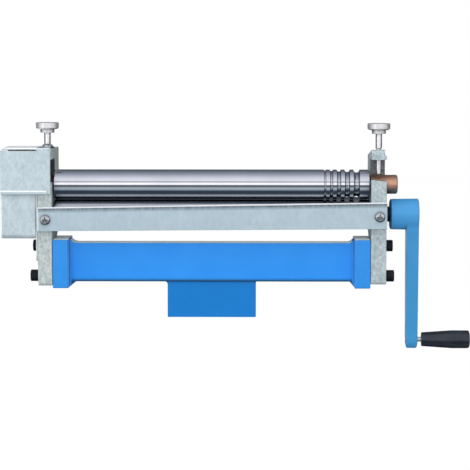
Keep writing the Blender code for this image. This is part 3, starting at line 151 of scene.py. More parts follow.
def bar(radius, low, high, sides=48, direction="X", centre=(0, 0, 0)):
    return turned([(low, 0), (low, radius), (high, radius), (high, 0)], sides, direction, centre)


def extruded(outline, low, high, direction="X"):
    place = {
        "X": lambda a, b, h: (h, a, b), "Y": lambda a, b, h: (a, h, b), "Z": lambda a, b, h: (a, b, h),
    }[direction]
    shape = bmesh.new()
    near = [shape.verts.new(place(a, b, low)) for a, b in outline]
    far = [shape.verts.new(place(a, b, high)) for a, b in outline]
    shape.faces.new(near)
    shape.faces.new(far)
    for i in range(len(outline)):
        j = (i + 1) % len(outline)
        shape.faces.new((near[i], near[j], far[j], far[i]))
    bmesh.ops.recalc_face_normals(shape, faces=shape.faces)
    return shape


def boxShape(xSpan, ySpan, zSpan):
    (y0, y1), (z0, z1) = ySpan, zSpan
    return extruded([(y0, z0), (y1, z0), (y1, z1), (y0, z1)], *xSpan)


def lofted(rings):
    # closed rings of equal length joined in order, capped at both ends
    shape = bmesh.new()
    made = [[shape.verts.new(point) for point in ring] for ring in rings]
    shape.faces.new(made[0])
    shape.faces.new(made[-1])
    count = len(made[0])
    for low, high in zip(made, made[1:]):
        for i in range(count):
            j = (i + 1) % count
            shape.faces.new((low[i], low[j], high[j], high[i]))
    bmesh.ops.recalc_face_normals(shape, faces=shape.faces)
    return shape


def looseObject(name, shape):
    mesh = bpy.data.meshes.new(name)
    shape.to_mesh(mesh)
    shape.free()
    made = bpy.data.objects.new(name, mesh)
    bpy.context.scene.collection.objects.link(made)
    return made


def applied(piece):
    # what the modifiers make becomes the piece's own mesh
    bpy.context.view_layer.update()
    evaluated = piece.evaluated_get(bpy.context.evaluated_depsgraph_get())
    mesh = bpy.data.meshes.new_from_object(evaluated)
    piece.modifiers.clear()
    piece.data = mesh
    mesh.name = piece.name
    return piece


def combined(piece, shapes, operation):
    tools = [looseObject("tool", shape) for shape in shapes]
    for tool in tools:
        step = piece.modifiers.new(operation, "BOOLEAN")
        step.operation = operation
        step.solver = "EXACT"
        step.object = tool
    applied(piece)
    for tool in tools:
        bpy.data.objects.remove(tool, do_unlink=True)
    return piece


def edgeRounded(piece, width, segments=3, angle=32):
    step = piece.modifiers.new("Edges", "BEVEL")
    step.width = width
    step.segments = segments
    step.limit_method = "ANGLE"
    step.angle_limit = math.radians(angle)
    step.miter_outer = "MITER_ARC"
    return applied(piece)


def dressed(piece, finish, body, replaced, sharpAngle=40, weighted=True):
    mesh = piece.data
    mesh.shade_smooth()
    mesh.set_sharp_from_angle(angle=math.radians(sharpAngle))
    if weighted:
        step = piece.modifiers.new("Normals", "WEIGHTED_NORMAL")
        step.keep_sharp = True
        applied(piece)
    piece.data.materials.clear()
    piece.data.materials.append(finish)
    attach(piece, body)
    if replaced:
        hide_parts(*replaced)
    return piece


# Finishes

def shaderTree(name, colour, roughness, metallic):
    made = bpy.data.materials.new(name)
    made.use_nodes = True
    tree = made.node_tree
    shader = tree.nodes["Principled BSDF"]
    shader.inputs["Base Color"].default_value = (*colour, 1)
    shader.inputs["Roughness"].default_value = roughness
    shader.inputs["Metallic"].default_value = metallic
    made.diffuse_color = (*colour, 1)
    return made, tree, shader


def addNode(tree, kind, settings=None, links=None):
    node = tree.nodes.new(kind)
    for key, value in (settings or {}).items():
        if key in node.inputs:
            node.inputs[key].default_value = value
        else:
            setattr(node, key, value)
    for key, source in (links or {}).items():
        tree.links.new(source, node.inputs[key])
    return node


def mathStep(tree, operation, first, second=0.0):
    node = tree.nodes.new("ShaderNodeMath")
    node.operation = operation
    for socket, value in ((node.inputs[0], first), (node.inputs[1], second)):
        if isinstance(value, (int, float)):
            socket.default_value = value
        else:
            tree.links.new(value, socket)
    return node.outputs[0]


def noiseValue(tree, scale, stretch=(1, 1, 1), detail=3, roughness=0.55):
    place = addNode(tree, "ShaderNodeTexCoord").outputs["Object"]
    mapped = addNode(tree, "ShaderNodeMapping", {"Scale": stretch}, {"Vector": place})
    noise = addNode(
        tree, "ShaderNodeTexNoise", {"Scale": scale, "Detail": detail, "Roughness": roughness},
        {"Vector": mapped.outputs["Vector"]},
    )
    return noise.outputs["Fac"]


def remapped(tree, source, low, high, toLow, toHigh):
    node = addNode(tree, "ShaderNodeMapRange", {
        "From Min": low, "From Max": high, "To Min": toLow, "To Max": toHigh,
    }, {"Value": source})
    return node.outputs["Result"]


def mixedColour(tree, share, first, second):
    # first and second are colours or sockets
    node = addNode(tree, "ShaderNodeMix", {"data_type": "RGBA"})
    tree.links.new(share, node.inputs[0])
    for socket, value in ((node.inputs[6], first), (node.inputs[7], second)):
        if isinstance(value, tuple):
            socket.default_value = (*value, 1)
        else:
            tree.links.new(value, socket)
    return node.outputs[2]


def bumped(tree, shader, layers):
    # layers are (height, strength, distance in metres), the coarsest first
    normal = None
    for height, strength, distance in layers:
        node = addNode(tree, "ShaderNodeBump", {"Strength": strength, "Distance": distance},
            {"Height": height})
        if normal:
            tree.links.new(normal, node.inputs["Normal"])
        normal = node.outputs["Normal"]
    tree.links.new(normal, shader.inputs["Normal"])


def creviceShade(tree, colour, shadeColour, reach, depth):
    # painted shade: the colour darkens in corners and where other parts come close
    hollow = addNode(tree, "ShaderNodeAmbientOcclusion", {"Distance": reach, "samples": 6})
    share = remapped(tree, hollow.outputs["AO"], 0.35, 0.95, depth, 0)
    return mixedColour(tree, share, colour, shadeColour)


def enamelFinish(name, settings):
    made, tree, shader = shaderTree(name, settings["colour"], settings["roughness"], 0)
    cloud = noiseValue(tree, settings["cloudScale"], detail=2)
    tone = mixedColour(
        tree, remapped(tree, cloud, 0.3, 0.7, 0, 1), settings["colour"], settings["secondColour"]
    )
    if "lowEdgeShade" in settings:
        # painted shade: the web's lower corner turns dark towards its bottom edge
        low = settings["lowEdgeShade"]
        place = addNode(tree, "ShaderNodeTexCoord").outputs["Object"]
        parts = addNode(tree, "ShaderNodeSeparateXYZ", links={"Vector": place})
        depth = remapped(tree, parts.outputs["Z"], low["from"], low["to"], 1, 0)
        aside = mathStep(tree, "ABSOLUTE", parts.outputs["X"])
        onWeb = mathStep(tree, "LESS_THAN", aside, low["halfLength"])
        share = mathStep(tree, "MULTIPLY", mathStep(tree, "MULTIPLY", depth, depth), onWeb)
        tone = mixedColour(tree, share, tone, low["colour"])
    tone = creviceShade(tree, tone, settings["crevice"], 0.006, 0.75)
    tree.links.new(tone, shader.inputs["Base Color"])
    speck = noiseValue(tree, 900, detail=2)
    tree.links.new(
        remapped(tree, speck, 0.3, 0.7, settings["roughness"] - 0.05, settings["roughness"] + 0.07),
        shader.inputs["Roughness"],
    )
    shader.inputs["Specular IOR Level"].default_value = settings.get("gloss", 0.35)
    shader.inputs["Coat Weight"].default_value = settings.get("coat", 0.15)
    shader.inputs["Sheen Weight"].default_value = settings.get("sheen", 0.0)
    shader.inputs["Sheen Roughness"].default_value = 0.35
    shader.inputs["Coat Roughness"].default_value = 0.18
    bumped(tree, shader, [
        (noiseValue(tree, 55, detail=2), 0.25, 0.0006), (noiseValue(tree, 520, detail=3), 0.18, 0.00012),
    ])
    return made


def paintedEdgeLines(tree, tone, edge):
    # a painted highlight along a sloping top edge and a painted shade line that fades out below it
    place = addNode(tree, "ShaderNodeTexCoord").outputs["Object"]
    parts = addNode(tree, "ShaderNodeSeparateXYZ", links={"Vector": place})
    rise = mathStep(tree, "MULTIPLY", parts.outputs["X"], edge["slope"])
    depth = mathStep(tree, "SUBTRACT", mathStep(tree, "ADD", rise, edge["topAtZero"]), parts.outputs["Z"])
    broken = remapped(tree, noiseValue(tree, 700, (1, 0.02, 0.02), detail=2), 0.35, 0.65, 0.7, 1)
    below = mathStep(tree, "MULTIPLY", remapped(tree, depth, edge["darkFrom"], edge["fadeEnd"], 1, 0), broken)
    tone = mixedColour(tree, below, tone, edge["dark"])
    return mixedColour(tree, remapped(tree, depth, edge["bevel"], edge["darkFrom"], 1, 0), tone,
        edge["bright"])


def castFinish(name, settings):
    made, tree, shader = shaderTree(name, settings["colour"], settings["roughness"], settings["metallic"])
    blotch = noiseValue(tree, settings["blotchScale"], (1, 1, 0.7), detail=4, roughness=0.65)
    patch = noiseValue(tree, settings["patchScale"], (1, 1, 0.6), detail=3, roughness=0.6)
    fine = noiseValue(tree, 1100, detail=3)
    tone = mixedColour(
        tree, remapped(tree, blotch, 0.32, 0.68, 0, 1), settings["darkColour"], settings["colour"]
    )
    tone = mixedColour(tree, remapped(tree, patch, 0.50, 0.74, 0, 0.6), tone, settings["lightColour"])
    tone = mixedColour(tree, remapped(tree, fine, 0.46, 0.74, 0, settings["speck"]), tone,
        settings["darkColour"])
    tone = creviceShade(tree, tone, settings["crevice"], 0.003, settings.get("creviceDepth", 0.35))
    if "topEdge" in settings:
        tone = paintedEdgeLines(tree, tone, settings["topEdge"])
    # painted highlight: a pale stripe down an edge at the given x
    if "edgeHighlight" in settings:
        highlightBand = settings["edgeHighlight"]
        place = addNode(tree, "ShaderNodeTexCoord").outputs["Object"]
        across = addNode(tree, "ShaderNodeSeparateXYZ", links={"Vector": place}).outputs["X"]
        distance = mathStep(tree, "ABSOLUTE", mathStep(tree, "SUBTRACT", across, highlightBand["x"]))
        share = remapped(tree, distance, highlightBand["half"] * 0.5, highlightBand["half"] * 1.4, 0.8, 0)
        tone = mixedColour(tree, share, tone, highlightBand["colour"])
    tree.links.new(tone, shader.inputs["Base Color"])
    tree.links.new(
        remapped(tree, blotch, 0.3, 0.7, settings["roughness"] + 0.08, settings["roughness"] - 0.06),
        shader.inputs["Roughness"],
    )
    bumped(tree, shader, [
        (noiseValue(tree, 90, detail=3), settings["wave"], 0.0006),
        (noiseValue(tree, 700, detail=4), settings["grain"], 0.00016),
    ])
    return made


def machinedFinish(name, settings):
    # ground or turned metal with fine lines that run round the given axis
    made, tree, shader = shaderTree(name, settings["colour"], settings["roughness"],
        settings.get("metallic", 1))
    stretch = {"X": (1, 0.02, 0.02), "Z": (0.02, 0.02, 1), "Y": (0.02, 1, 0.02)}[settings["axis"]]
    line = noiseValue(tree, settings["lineScale"], stretch, detail=3, roughness=0.7)
    stain = noiseValue(tree, settings["stainScale"], detail=3)
    tone = mixedColour(
        tree, remapped(tree, stain, 0.35, 0.7, 0, 1), settings["colour"], settings["secondColour"]
    )
    if settings.get("crevice"):
        tone = creviceShade(tree, tone, settings["crevice"], settings.get("creviceReach", 0.003), 0.8)
    tree.links.new(tone, shader.inputs["Base Color"])
    rough = settings["roughness"]
    tree.links.new(
        remapped(tree, line, 0.3, 0.7, rough * 0.8, rough * 1.25), shader.inputs["Roughness"]
    )
    bumped(tree, shader, [(line, settings["lineDepth"], 0.00004)])
    return made


# The front bar's top edge rises to the right: its height at the middle and its slope, with the painted highlight and
# painted shade line along it
barTopEdgeLight = {
    "topAtZero": 0.11585, "slope": 0.01489, "bevel": 0.0009, "darkFrom": 0.0014, "fadeEnd": 0.0058,
    "bright": (0.93, 0.94, 0.95), "dark": (0.055, 0.08, 0.10),
}
finishes = {
    "beamEnamel": enamelFinish("beamEnamel", {
        "colour": (0.008, 0.272, 0.865), "secondColour": (0.014, 0.292, 0.90), "cloudScale": 28,
        "roughness": 0.36, "crevice": (0.002, 0.09, 0.30),
        "lowEdgeShade": {"from": 0.0378, "to": 0.0415, "halfLength": 0.1430, "colour": (0.002, 0.075, 0.20)},
    }),
    "tangEnamel": enamelFinish("tangEnamel", {
        "colour": (0.001, 0.186, 0.58), "secondColour": (0.002, 0.198, 0.61), "cloudScale": 28,
        "roughness": 0.36, "crevice": (0.002, 0.09, 0.30), "gloss": 0.2, "coat": 0.05,
    }),
    "flangeEnamel": enamelFinish("flangeEnamel", {
        "colour": (0.014, 0.262, 0.765), "secondColour": (0.020, 0.275, 0.79), "cloudScale": 28,
        "roughness": 0.36, "crevice": (0.002, 0.09, 0.30),
    }),
    # painted highlight: a pale blue with sheen for the lit top faces of the web
    "topEnamel": enamelFinish("topEnamel", {
        "colour": (0.55, 0.90, 1.0), "secondColour": (0.60, 0.94, 1.0), "cloudScale": 60,
        "roughness": 0.6, "crevice": (0.10, 0.28, 0.42), "gloss": 0.0, "coat": 0.0,
        "sheen": 1.0,
    }),
    "crankEnamel": enamelFinish("crankEnamel", {
        "colour": (0.043, 0.298, 0.645), "secondColour": (0.056, 0.325, 0.69), "cloudScale": 22,
        "roughness": 0.38, "crevice": (0.004, 0.10, 0.26),
    }),
    "armEnamel": enamelFinish("armEnamel", {
        "colour": (0.032, 0.272, 0.575), "secondColour": (0.040, 0.290, 0.61), "cloudScale": 22,
        "roughness": 0.38, "crevice": (0.004, 0.10, 0.26),
    }),
    # painted shade: a dark blue for the faces on the hub's nose
    "noseEnamel": enamelFinish("noseEnamel", {
        "colour": (0.006, 0.085, 0.20), "secondColour": (0.008, 0.10, 0.23), "cloudScale": 22,
        "roughness": 0.38, "crevice": (0.004, 0.05, 0.13),
    }),
    "coverCasting": castFinish("coverCasting", {
        "colour": (0.60, 0.70, 0.745), "darkColour": (0.46, 0.555, 0.60), "lightColour": (0.70, 0.79, 0.83),
        "roughness": 0.52, "metallic": 0.35, "blotchScale": 330, "patchScale": 90, "speck": 0.35,
        "wave": 0.22, "grain": 0.22, "crevice": (0.12, 0.15, 0.17),
        # painted highlight along the cover's left edge
        "edgeHighlight": {"x": -0.2143, "half": 0.0009, "colour": (0.93, 0.95, 0.96)},
    }),
    # painted highlight: a pale finish for the cover's rib, slot lip, top and left front edge
    "wornEdge": castFinish("wornEdge", {
        "colour": (0.90, 0.94, 0.96), "darkColour": (0.74, 0.79, 0.82), "lightColour": (0.96, 0.98, 0.99),
        "roughness": 0.45, "metallic": 0.0, "blotchScale": 420, "patchScale": 170, "speck": 0.3,
        "wave": 0.1, "grain": 0.2, "crevice": (0.3, 0.33, 0.35), "creviceDepth": 0.1,
    }),
    "slotShadow": castFinish("slotShadow", {
        "colour": (0.17, 0.20, 0.22), "darkColour": (0.10, 0.12, 0.13), "lightColour": (0.25, 0.28, 0.30),
        "roughness": 0.6, "metallic": 0.2, "blotchScale": 300, "patchScale": 150, "speck": 0.3,
        "wave": 0.2, "grain": 0.3, "crevice": (0.02, 0.02, 0.02),
    }),
    "leftCasting": castFinish("leftCasting", {
        "colour": (0.68, 0.745, 0.735), "darkColour": (0.34, 0.405, 0.395), "lightColour": (0.80, 0.85, 0.84),
        "roughness": 0.55, "metallic": 0.25, "blotchScale": 420, "patchScale": 170, "speck": 0.85,
        "wave": 0.25, "grain": 0.35, "crevice": (0.07, 0.08, 0.085), "creviceDepth": 0.08,
    }),
    "rightCasting": castFinish("rightCasting", {
        "colour": (0.59, 0.68, 0.71), "darkColour": (0.31, 0.385, 0.41), "lightColour": (0.74, 0.81, 0.84),
        "roughness": 0.55, "metallic": 0.25, "blotchScale": 420, "patchScale": 170, "speck": 0.75,
        "wave": 0.25, "grain": 0.35, "crevice": (0.07, 0.08, 0.085), "creviceDepth": 0.15,
    }),
    # painted shade: a dark finish for the cut faces inside the left frame's cradle and slots
    "machinedCasting": castFinish("machinedCasting", {
        "colour": (0.09, 0.115, 0.115), "darkColour": (0.035, 0.05, 0.05), "lightColour": (0.20, 0.23, 0.23),
        "roughness": 0.45, "metallic": 0.4, "blotchScale": 260, "patchScale": 160, "speck": 0.3,
        "wave": 0.1, "grain": 0.2, "crevice": (0.02, 0.02, 0.022),
    }),
    # painted shade: a dark grey for the cut faces inside the right frame's window and slots
    "windowCasting": castFinish("windowCasting", {
        "colour": (0.27, 0.285, 0.29), "darkColour": (0.09, 0.10, 0.104), "lightColour": (0.52, 0.54, 0.55),
        "roughness": 0.5, "metallic": 0.5, "blotchScale": 520, "patchScale": 300, "speck": 0.3,
        "wave": 0.1, "grain": 0.2, "crevice": (0.02, 0.02, 0.022),
    }),
    "barZinc": castFinish("barZinc", {
        "colour": (0.485, 0.605, 0.675), "darkColour": (0.43, 0.545, 0.61), "lightColour": (0.54, 0.66, 0.73),
        "roughness": 0.42, "metallic": 0.45, "blotchScale": 240, "patchScale": 60, "speck": 0.15,
        "wave": 0.08, "grain": 0.10, "crevice": (0.12, 0.15, 0.18), "topEdge": barTopEdgeLight,
        # painted highlight down the bar's left end
        "edgeHighlight": {"x": span("guard_bar", "X")[0] + 0.0006, "half": 0.0006, "colour": (0.90, 0.93, 0.95)},
    }),
    # painted light: a paler zinc than the bar's, lifting the shaded step between cover and frame
    "plateZinc": castFinish("plateZinc", {
        "colour": (0.68, 0.72, 0.735), "darkColour": (0.58, 0.62, 0.635), "lightColour": (0.76, 0.80, 0.81),
        "roughness": 0.42, "metallic": 0.35, "blotchScale": 240, "patchScale": 60, "speck": 0.15,
        "wave": 0.08, "grain": 0.10, "crevice": (0.30, 0.33, 0.34), "creviceDepth": 0.2,
    }),
    # painted shade reaches far here and darkens the rolls where they come close to each other
    "groundSteel": machinedFinish("groundSteel", {
        "colour": (0.67, 0.68, 0.71), "secondColour": (0.61, 0.62, 0.655), "roughness": 0.08, "axis": "X",
        "lineScale": 1800, "stainScale": 30, "lineDepth": 0.06, "crevice": (0.09, 0.115, 0.14),
        "creviceReach": 0.011,
    }),
    "rearSteel": machinedFinish("rearSteel", {
        "colour": (0.30, 0.31, 0.33), "secondColour": (0.25, 0.26, 0.28), "roughness": 0.22, "axis": "X",
        "lineScale": 1800, "stainScale": 30, "lineDepth": 0.06, "crevice": (0.05, 0.06, 0.08),
        "creviceReach": 0.011,
    }),
    "turnedZinc": machinedFinish("turnedZinc", {
        "colour": (0.80, 0.79, 0.79), "secondColour": (0.74, 0.73, 0.73), "roughness": 0.30, "axis": "Z",
        "lineScale": 900, "stainScale": 60, "lineDepth": 0.02, "crevice": (0.12, 0.12, 0.13), "metallic": 0.7,
    }),
    "screwZinc": machinedFinish("screwZinc", {
        "colour": (0.84, 0.84, 0.845), "secondColour": (0.78, 0.78, 0.785), "roughness": 0.14, "axis": "Z",
        "lineScale": 900, "stainScale": 80, "lineDepth": 0.0, "crevice": (0.05, 0.05, 0.055), "metallic": 1,
    }),
    "panZinc": machinedFinish("panZinc", {
        "colour": (0.52, 0.54, 0.55), "secondColour": (0.36, 0.38, 0.39), "roughness": 0.22, "axis": "Z",
        "lineScale": 900, "stainScale": 400, "lineDepth": 0.05, "crevice": (0.03, 0.035, 0.04),
        "creviceReach": 0.004,
    }),
    "bushBronze": machinedFinish("bushBronze", {
        "colour": (0.72, 0.41, 0.28), "secondColour": (0.62, 0.33, 0.21), "roughness": 0.40, "axis": "X",
        "lineScale": 900, "stainScale": 90, "lineDepth": 0.08, "crevice": (0.10, 0.05, 0.03),
    }),
    # painted shade: a darker copy of the bronze for the bush in the shaded left window
    "dullBronze": machinedFinish("dullBronze", {
        "colour": (0.27, 0.16, 0.12), "secondColour": (0.20, 0.12, 0.09), "roughness": 0.45, "axis": "X",
        "lineScale": 900, "stainScale": 90, "lineDepth": 0.08, "crevice": (0.04, 0.02, 0.015),
    }),
    "blackOxide": machinedFinish("blackOxide", {
        "colour": (0.022, 0.024, 0.028), "secondColour": (0.035, 0.037, 0.042), "roughness": 0.38,
        "axis": "X",
        "lineScale": 900, "stainScale": 150, "lineDepth": 0.10,
    }),
    "gearSteel": machinedFinish("gearSteel", {
        "colour": (0.50, 0.50, 0.51), "secondColour": (0.36, 0.365, 0.38), "roughness": 0.34, "axis": "X",
        "lineScale": 700, "stainScale": 130, "lineDepth": 0.12, "crevice": (0.05, 0.045, 0.04),
    }),
}


def plasticFinish():
    settings = {"colour": (0.009, 0.014, 0.023), "worn": (0.020, 0.028, 0.042), "roughness": 0.42}
    made, tree, shader = shaderTree("gripPlastic", settings["colour"], settings["roughness"], 0)
    cloud = noiseValue(tree, 160, (0.35, 1, 1), detail=3)
    tone = mixedColour(tree, remapped(tree, cloud, 0.42, 0.75, 0, 1), settings["colour"], settings["worn"])
    tree.links.new(tone, shader.inputs["Base Color"])
    tree.links.new(remapped(tree, cloud, 0.3, 0.7, 0.36, 0.48), shader.inputs["Roughness"])
    bumped(tree, shader, [(noiseValue(tree, 1100, detail=3), 0.20, 0.00008)])
    return made


finishes["gripPlastic"] = plasticFinish()
print("finishes ready")


# Geometry Nodes: a round bar whose skin has ridges, straight ones as knurls and flutes or a helix as threads

def newTree(name, inputs):
    tree = bpy.data.node_groups.new(name, "GeometryNodeTree")
    tree.interface.new_socket("Geometry", in_out="INPUT", socket_type="NodeSocketGeometry")
    for label, kind in inputs:
        tree.interface.new_socket(label, in_out="INPUT", socket_type=f"NodeSocket{kind}")
    tree.interface.new_socket("Geometry", in_out="OUTPUT", socket_type="NodeSocketGeometry")
    return tree, tree.nodes.new("NodeGroupInput"), tree.nodes.new("NodeGroupOutput")


def ridgedBarTree():
    tree, given, result = newTree("ridgedBar", (
        ("Start Radius", "Float"), ("End Radius", "Float"), ("Taper Share", "Float"), ("Length", "Float"),
        ("Ridges", "Float"), ("Helix Turns", "Float"), ("Ridge Depth", "Float"), ("Start Round", "Float"),
        ("End Round", "Float"), ("Steps Around", "Int"), ("Steps Along", "Int"), ("Finish", "Material"),
    ))
    value = given.outputs

    def step(operation, first, second=0.0):
        return mathStep(tree, operation, first, second)

    grid = addNode(tree, "GeometryNodeMeshGrid", {"Size X": 1, "Size Y": 1}, {
        "Vertices X": value["Steps Around"], "Vertices Y": value["Steps Along"],
    })
    place = addNode(tree, "GeometryNodeInputPosition")
    parts = addNode(tree, "ShaderNodeSeparateXYZ", links={"Vector": place.outputs[0]})
    turn = step("ADD", parts.outputs["X"], 0.5)
    row = step("ADD", parts.outputs["Y"], 0.5)
    # the first and last rows close the flat ends, so the skin runs from the second to the last but one
    skinRow = step("SUBTRACT", step("MULTIPLY", row, step("SUBTRACT", value["Steps Along"], 1.0)), 1.0)
    skinShare = step("DIVIDE", skinRow, step("SUBTRACT", value["Steps Along"], 3.0))
    along = step("MINIMUM", step("MAXIMUM", skinShare, 0.0), 1.0)
    angle = step("MULTIPLY", turn, 2 * math.pi)
    taper = step("MINIMUM", step("DIVIDE", along, value["Taper Share"]), 1.0)
    widening = step("MULTIPLY", step("SUBTRACT", value["End Radius"], value["Start Radius"]), taper)
    radius = step("ADD", value["Start Radius"], widening)
    startDistance = step("MULTIPLY", along, value["Length"])
    endDistance = step("MULTIPLY", step("SUBTRACT", 1.0, along), value["Length"])

    def inset(distance, edge):
        short = step("MAXIMUM", step("SUBTRACT", edge, distance), 0.0)
        chord = step("SUBTRACT", step("MULTIPLY", edge, edge), step("MULTIPLY", short, short))
        return step("SUBTRACT", edge, step("SQRT", step("MAXIMUM", chord, 0.0)))

    rounding = step("ADD", inset(startDistance, value["Start Round"]), inset(endDistance, value["End Round"]))
    phase = step("ADD", step("MULTIPLY", turn, value["Ridges"]),
        step("MULTIPLY", along, value["Helix Turns"]))
    wave = step("MULTIPLY", step("SUBTRACT", 1.0, step("COSINE", step("MULTIPLY", phase, 2 * math.pi))), 0.5)
    nearest = step("MINIMUM", startDistance, endDistance)
    fade = step("MINIMUM", step("DIVIDE", nearest, value["End Round"]), 1.0)
    dip = step("MULTIPLY", step("MULTIPLY", wave, value["Ridge Depth"]), fade)
    skin = step("SUBTRACT", step("SUBTRACT", radius, rounding), dip)
    isSkin = step("GREATER_THAN", step("MINIMUM", row, step("SUBTRACT", 1.0, row)), 1e-5)
    skin = step("MULTIPLY", skin, isSkin)
    moved = addNode(tree, "ShaderNodeCombineXYZ", links={
        "X": step("MULTIPLY", skin, step("COSINE", angle)), "Y": step("MULTIPLY", skin, step("SINE", angle)),
        "Z": step("MULTIPLY", along, value["Length"]),
    })
    wrapped = addNode(tree, "GeometryNodeSetPosition", links={
        "Geometry": grid.outputs["Mesh"], "Position": moved.outputs[0],
    })
    welded = addNode(tree, "GeometryNodeMergeByDistance", {"Distance": 1e-6},
        {"Geometry": wrapped.outputs[0]})
    smooth = addNode(tree, "GeometryNodeSetShadeSmooth", links={"Geometry": welded.outputs[0]})
    real = addNode(tree, "GeometryNodeRealizeInstances", links={"Geometry": smooth.outputs[0]})
    painted = addNode(tree, "GeometryNodeSetMaterial", links={
        "Geometry": real.outputs[0], "Material": value["Finish"],
    })
    tree.links.new(painted.outputs[0], result.inputs[0])
    return tree


def grown(tree, name, values, start=None):
    # runs a tree on a start mesh and keeps the plain mesh that it makes
    holder = start or bpy.data.objects.new(name, bpy.data.meshes.new(name))
    holder.name = name
    if not start:
        bpy.context.scene.collection.objects.link(holder)
    step = holder.modifiers.new("Rule", "NODES")
    step.node_group = tree
    sockets = {s.name: s for s in tree.interface.items_tree if s.in_out == "INPUT"}
    for label, value in values.items():
        step[sockets[label].identifier] = value
    return applied(holder)


ridgedBar = ridgedBarTree()


def ridgedMesh(name, finish, settings, direction="Z", centre=(0, 0, 0)):
    made = grown(ridgedBar, name, {
        "Start Radius": settings["radius"], "End Radius": settings.get("endRadius", settings["radius"]),
        "Taper Share": settings.get("taperShare", 1.0), "Length": settings["length"],
        "Ridges": float(settings["ridges"]), "Helix Turns": float(settings.get("helixTurns", 0)),
        "Ridge Depth": settings["depth"], "Start Round": settings.get("startRound", settings["endRound"]),
        "End Round": settings["endRound"],
        "Steps Around": settings["around"] + 1, "Steps Along": settings["along"], "Finish": finish,
    })
    made.data.transform(Matrix.Translation(centre) @ turnsTo[direction])
    flipInward(made.data)
    return made


def flipInward(mesh):
    shape = bmesh.new()
    shape.from_mesh(mesh)
    bmesh.ops.recalc_face_normals(shape, faces=shape.faces)
    shape.to_mesh(mesh)
    shape.free()


def joined(name, pieces):
    # several closed meshes of one solid part as one mesh
    shape = bmesh.new()
    for piece in pieces:
        shape.from_mesh(piece.data)
        bpy.data.objects.remove(piece, do_unlink=True)
    return looseObject(name, shape)


# Instances a finished screw on points that carry their own turn
def repeatTree():
    tree, given, result = newTree("repeatOnPoints", (("Piece", "Object"), ("Finish", "Material")))
    original = addNode(tree, "GeometryNodeObjectInfo", links={"Object": given.outputs["Piece"]})
    turn = addNode(tree, "GeometryNodeInputNamedAttribute", {"data_type": "FLOAT_VECTOR", "Name": "turn"})
    placed = addNode(tree, "GeometryNodeInstanceOnPoints", links={
        "Points": given.outputs["Geometry"], "Instance": original.outputs["Geometry"],
        "Rotation": turn.outputs["Attribute"],
    })
    real = addNode(tree, "GeometryNodeRealizeInstances", links={"Geometry": placed.outputs[0]})
    painted = addNode(tree, "GeometryNodeSetMaterial", links={
        "Geometry": real.outputs[0], "Material": given.outputs["Finish"],
    })
    tree.links.new(painted.outputs[0], result.inputs[0])
    return tree


repeatOnPoints = repeatTree()


def repeated(name, original, finish, places):
    # places are (position, euler turn)
    mesh = bpy.data.meshes.new(name)
    mesh.from_pydata([place for place, turn in places], [], [])
    attribute = mesh.attributes.new("turn", "FLOAT_VECTOR", "POINT")
    for i, (place, turn) in enumerate(places):
        attribute.data[i].vector = turn
    points = bpy.data.objects.new(name, mesh)
    bpy.context.scene.collection.objects.link(points)
    made = grown(repeatOnPoints, name, {"Piece": original, "Finish": finish}, points)
    bpy.data.objects.remove(original, do_unlink=True)
    return made


print("node trees ready")


def softened(shape, width, segments=3, angle=32):
    # the same shape with its edges rounded
    piece = edgeRounded(looseObject("softened", shape), width, segments, angle)
    result = bmesh.new()
    result.from_mesh(piece.data)
    bpy.data.objects.remove(piece, do_unlink=True)
    return result


def paintedInside(piece, finish, isInside):
    # a second finish on the faces whose centre and normal pass the test
    piece.data.materials.append(finish)
    for face in piece.data.polygons:
        if isInside(face.center, face.normal):
            face.material_index = len(piece.data.materials) - 1


lowerAxis = middle("lower_roll")
topAxis = middle("top_roll")
rearAxis = middle("rear_roll")
rearLean = math.radians(20)
frameInner, rightOuter = span("right_frame", "X")
leftOuter = -span("left_frame", "X")[0]
outerX = {-1: -leftOuter, 1: rightOuter}
screwX = {-1: middle("left_pressure_screw").x, 1: middle("right_pressure_screw").x}
frameFront, frameBack = span("right_frame", "Y")
leftBottom, frameTop = span("left_frame", "Z")
rightBottom = span("right_frame", "Z")[0]


def leaned(shape, x):
    # from the rear roll's own upright frame to its leaning slot
    turn = Matrix.Translation((x, rearAxis.y, rearAxis.z)) @ Matrix.Rotation(rearLean, 4, "X")
    bmesh.ops.transform(shape, matrix=turn, verts=shape.verts)
    return shape


def leanedOutline(corners):
    # (across, up) from the rear roll's axis to (y, z) on the frame
    up = Vector((-math.sin(rearLean), math.cos(rearLean)))
    across = Vector((up.y, -up.x))
    middlePoint = Vector((rearAxis.y, rearAxis.z))
    return [(*(middlePoint + across * a + up * b), radius) for a, b, radius in corners]


# Base casting: web, two flanges and the tang

beam = {
    "webHalfDepth": 0.011, "webLow": 0.0366, "webHigh": 0.0763, "corner": 0.0016,
    "flangeInner": 0.1452, "flangeOuter": 0.1609, "flangeFront": -0.0215, "flangeBack": 0.0285,
    "flangeLow": 0.0307, "flangeHigh": 0.0803, "topSwell": {-1: 0.0085, 1: 0.0062},
    "lowSlope": {-1: 0.0070, 1: 0.0048}, "rootLength": 0.0028,
    "rootHalfDepth": 0.0155, "faceRound": 0.0012, "endRound": 0.0009, "tangHalfLength": 0.045,
    "tangHalfDepth": 0.009, "tangRound": 0.0008, "leftFillet": 0.0030, "rightFillet": 0.0010,
}


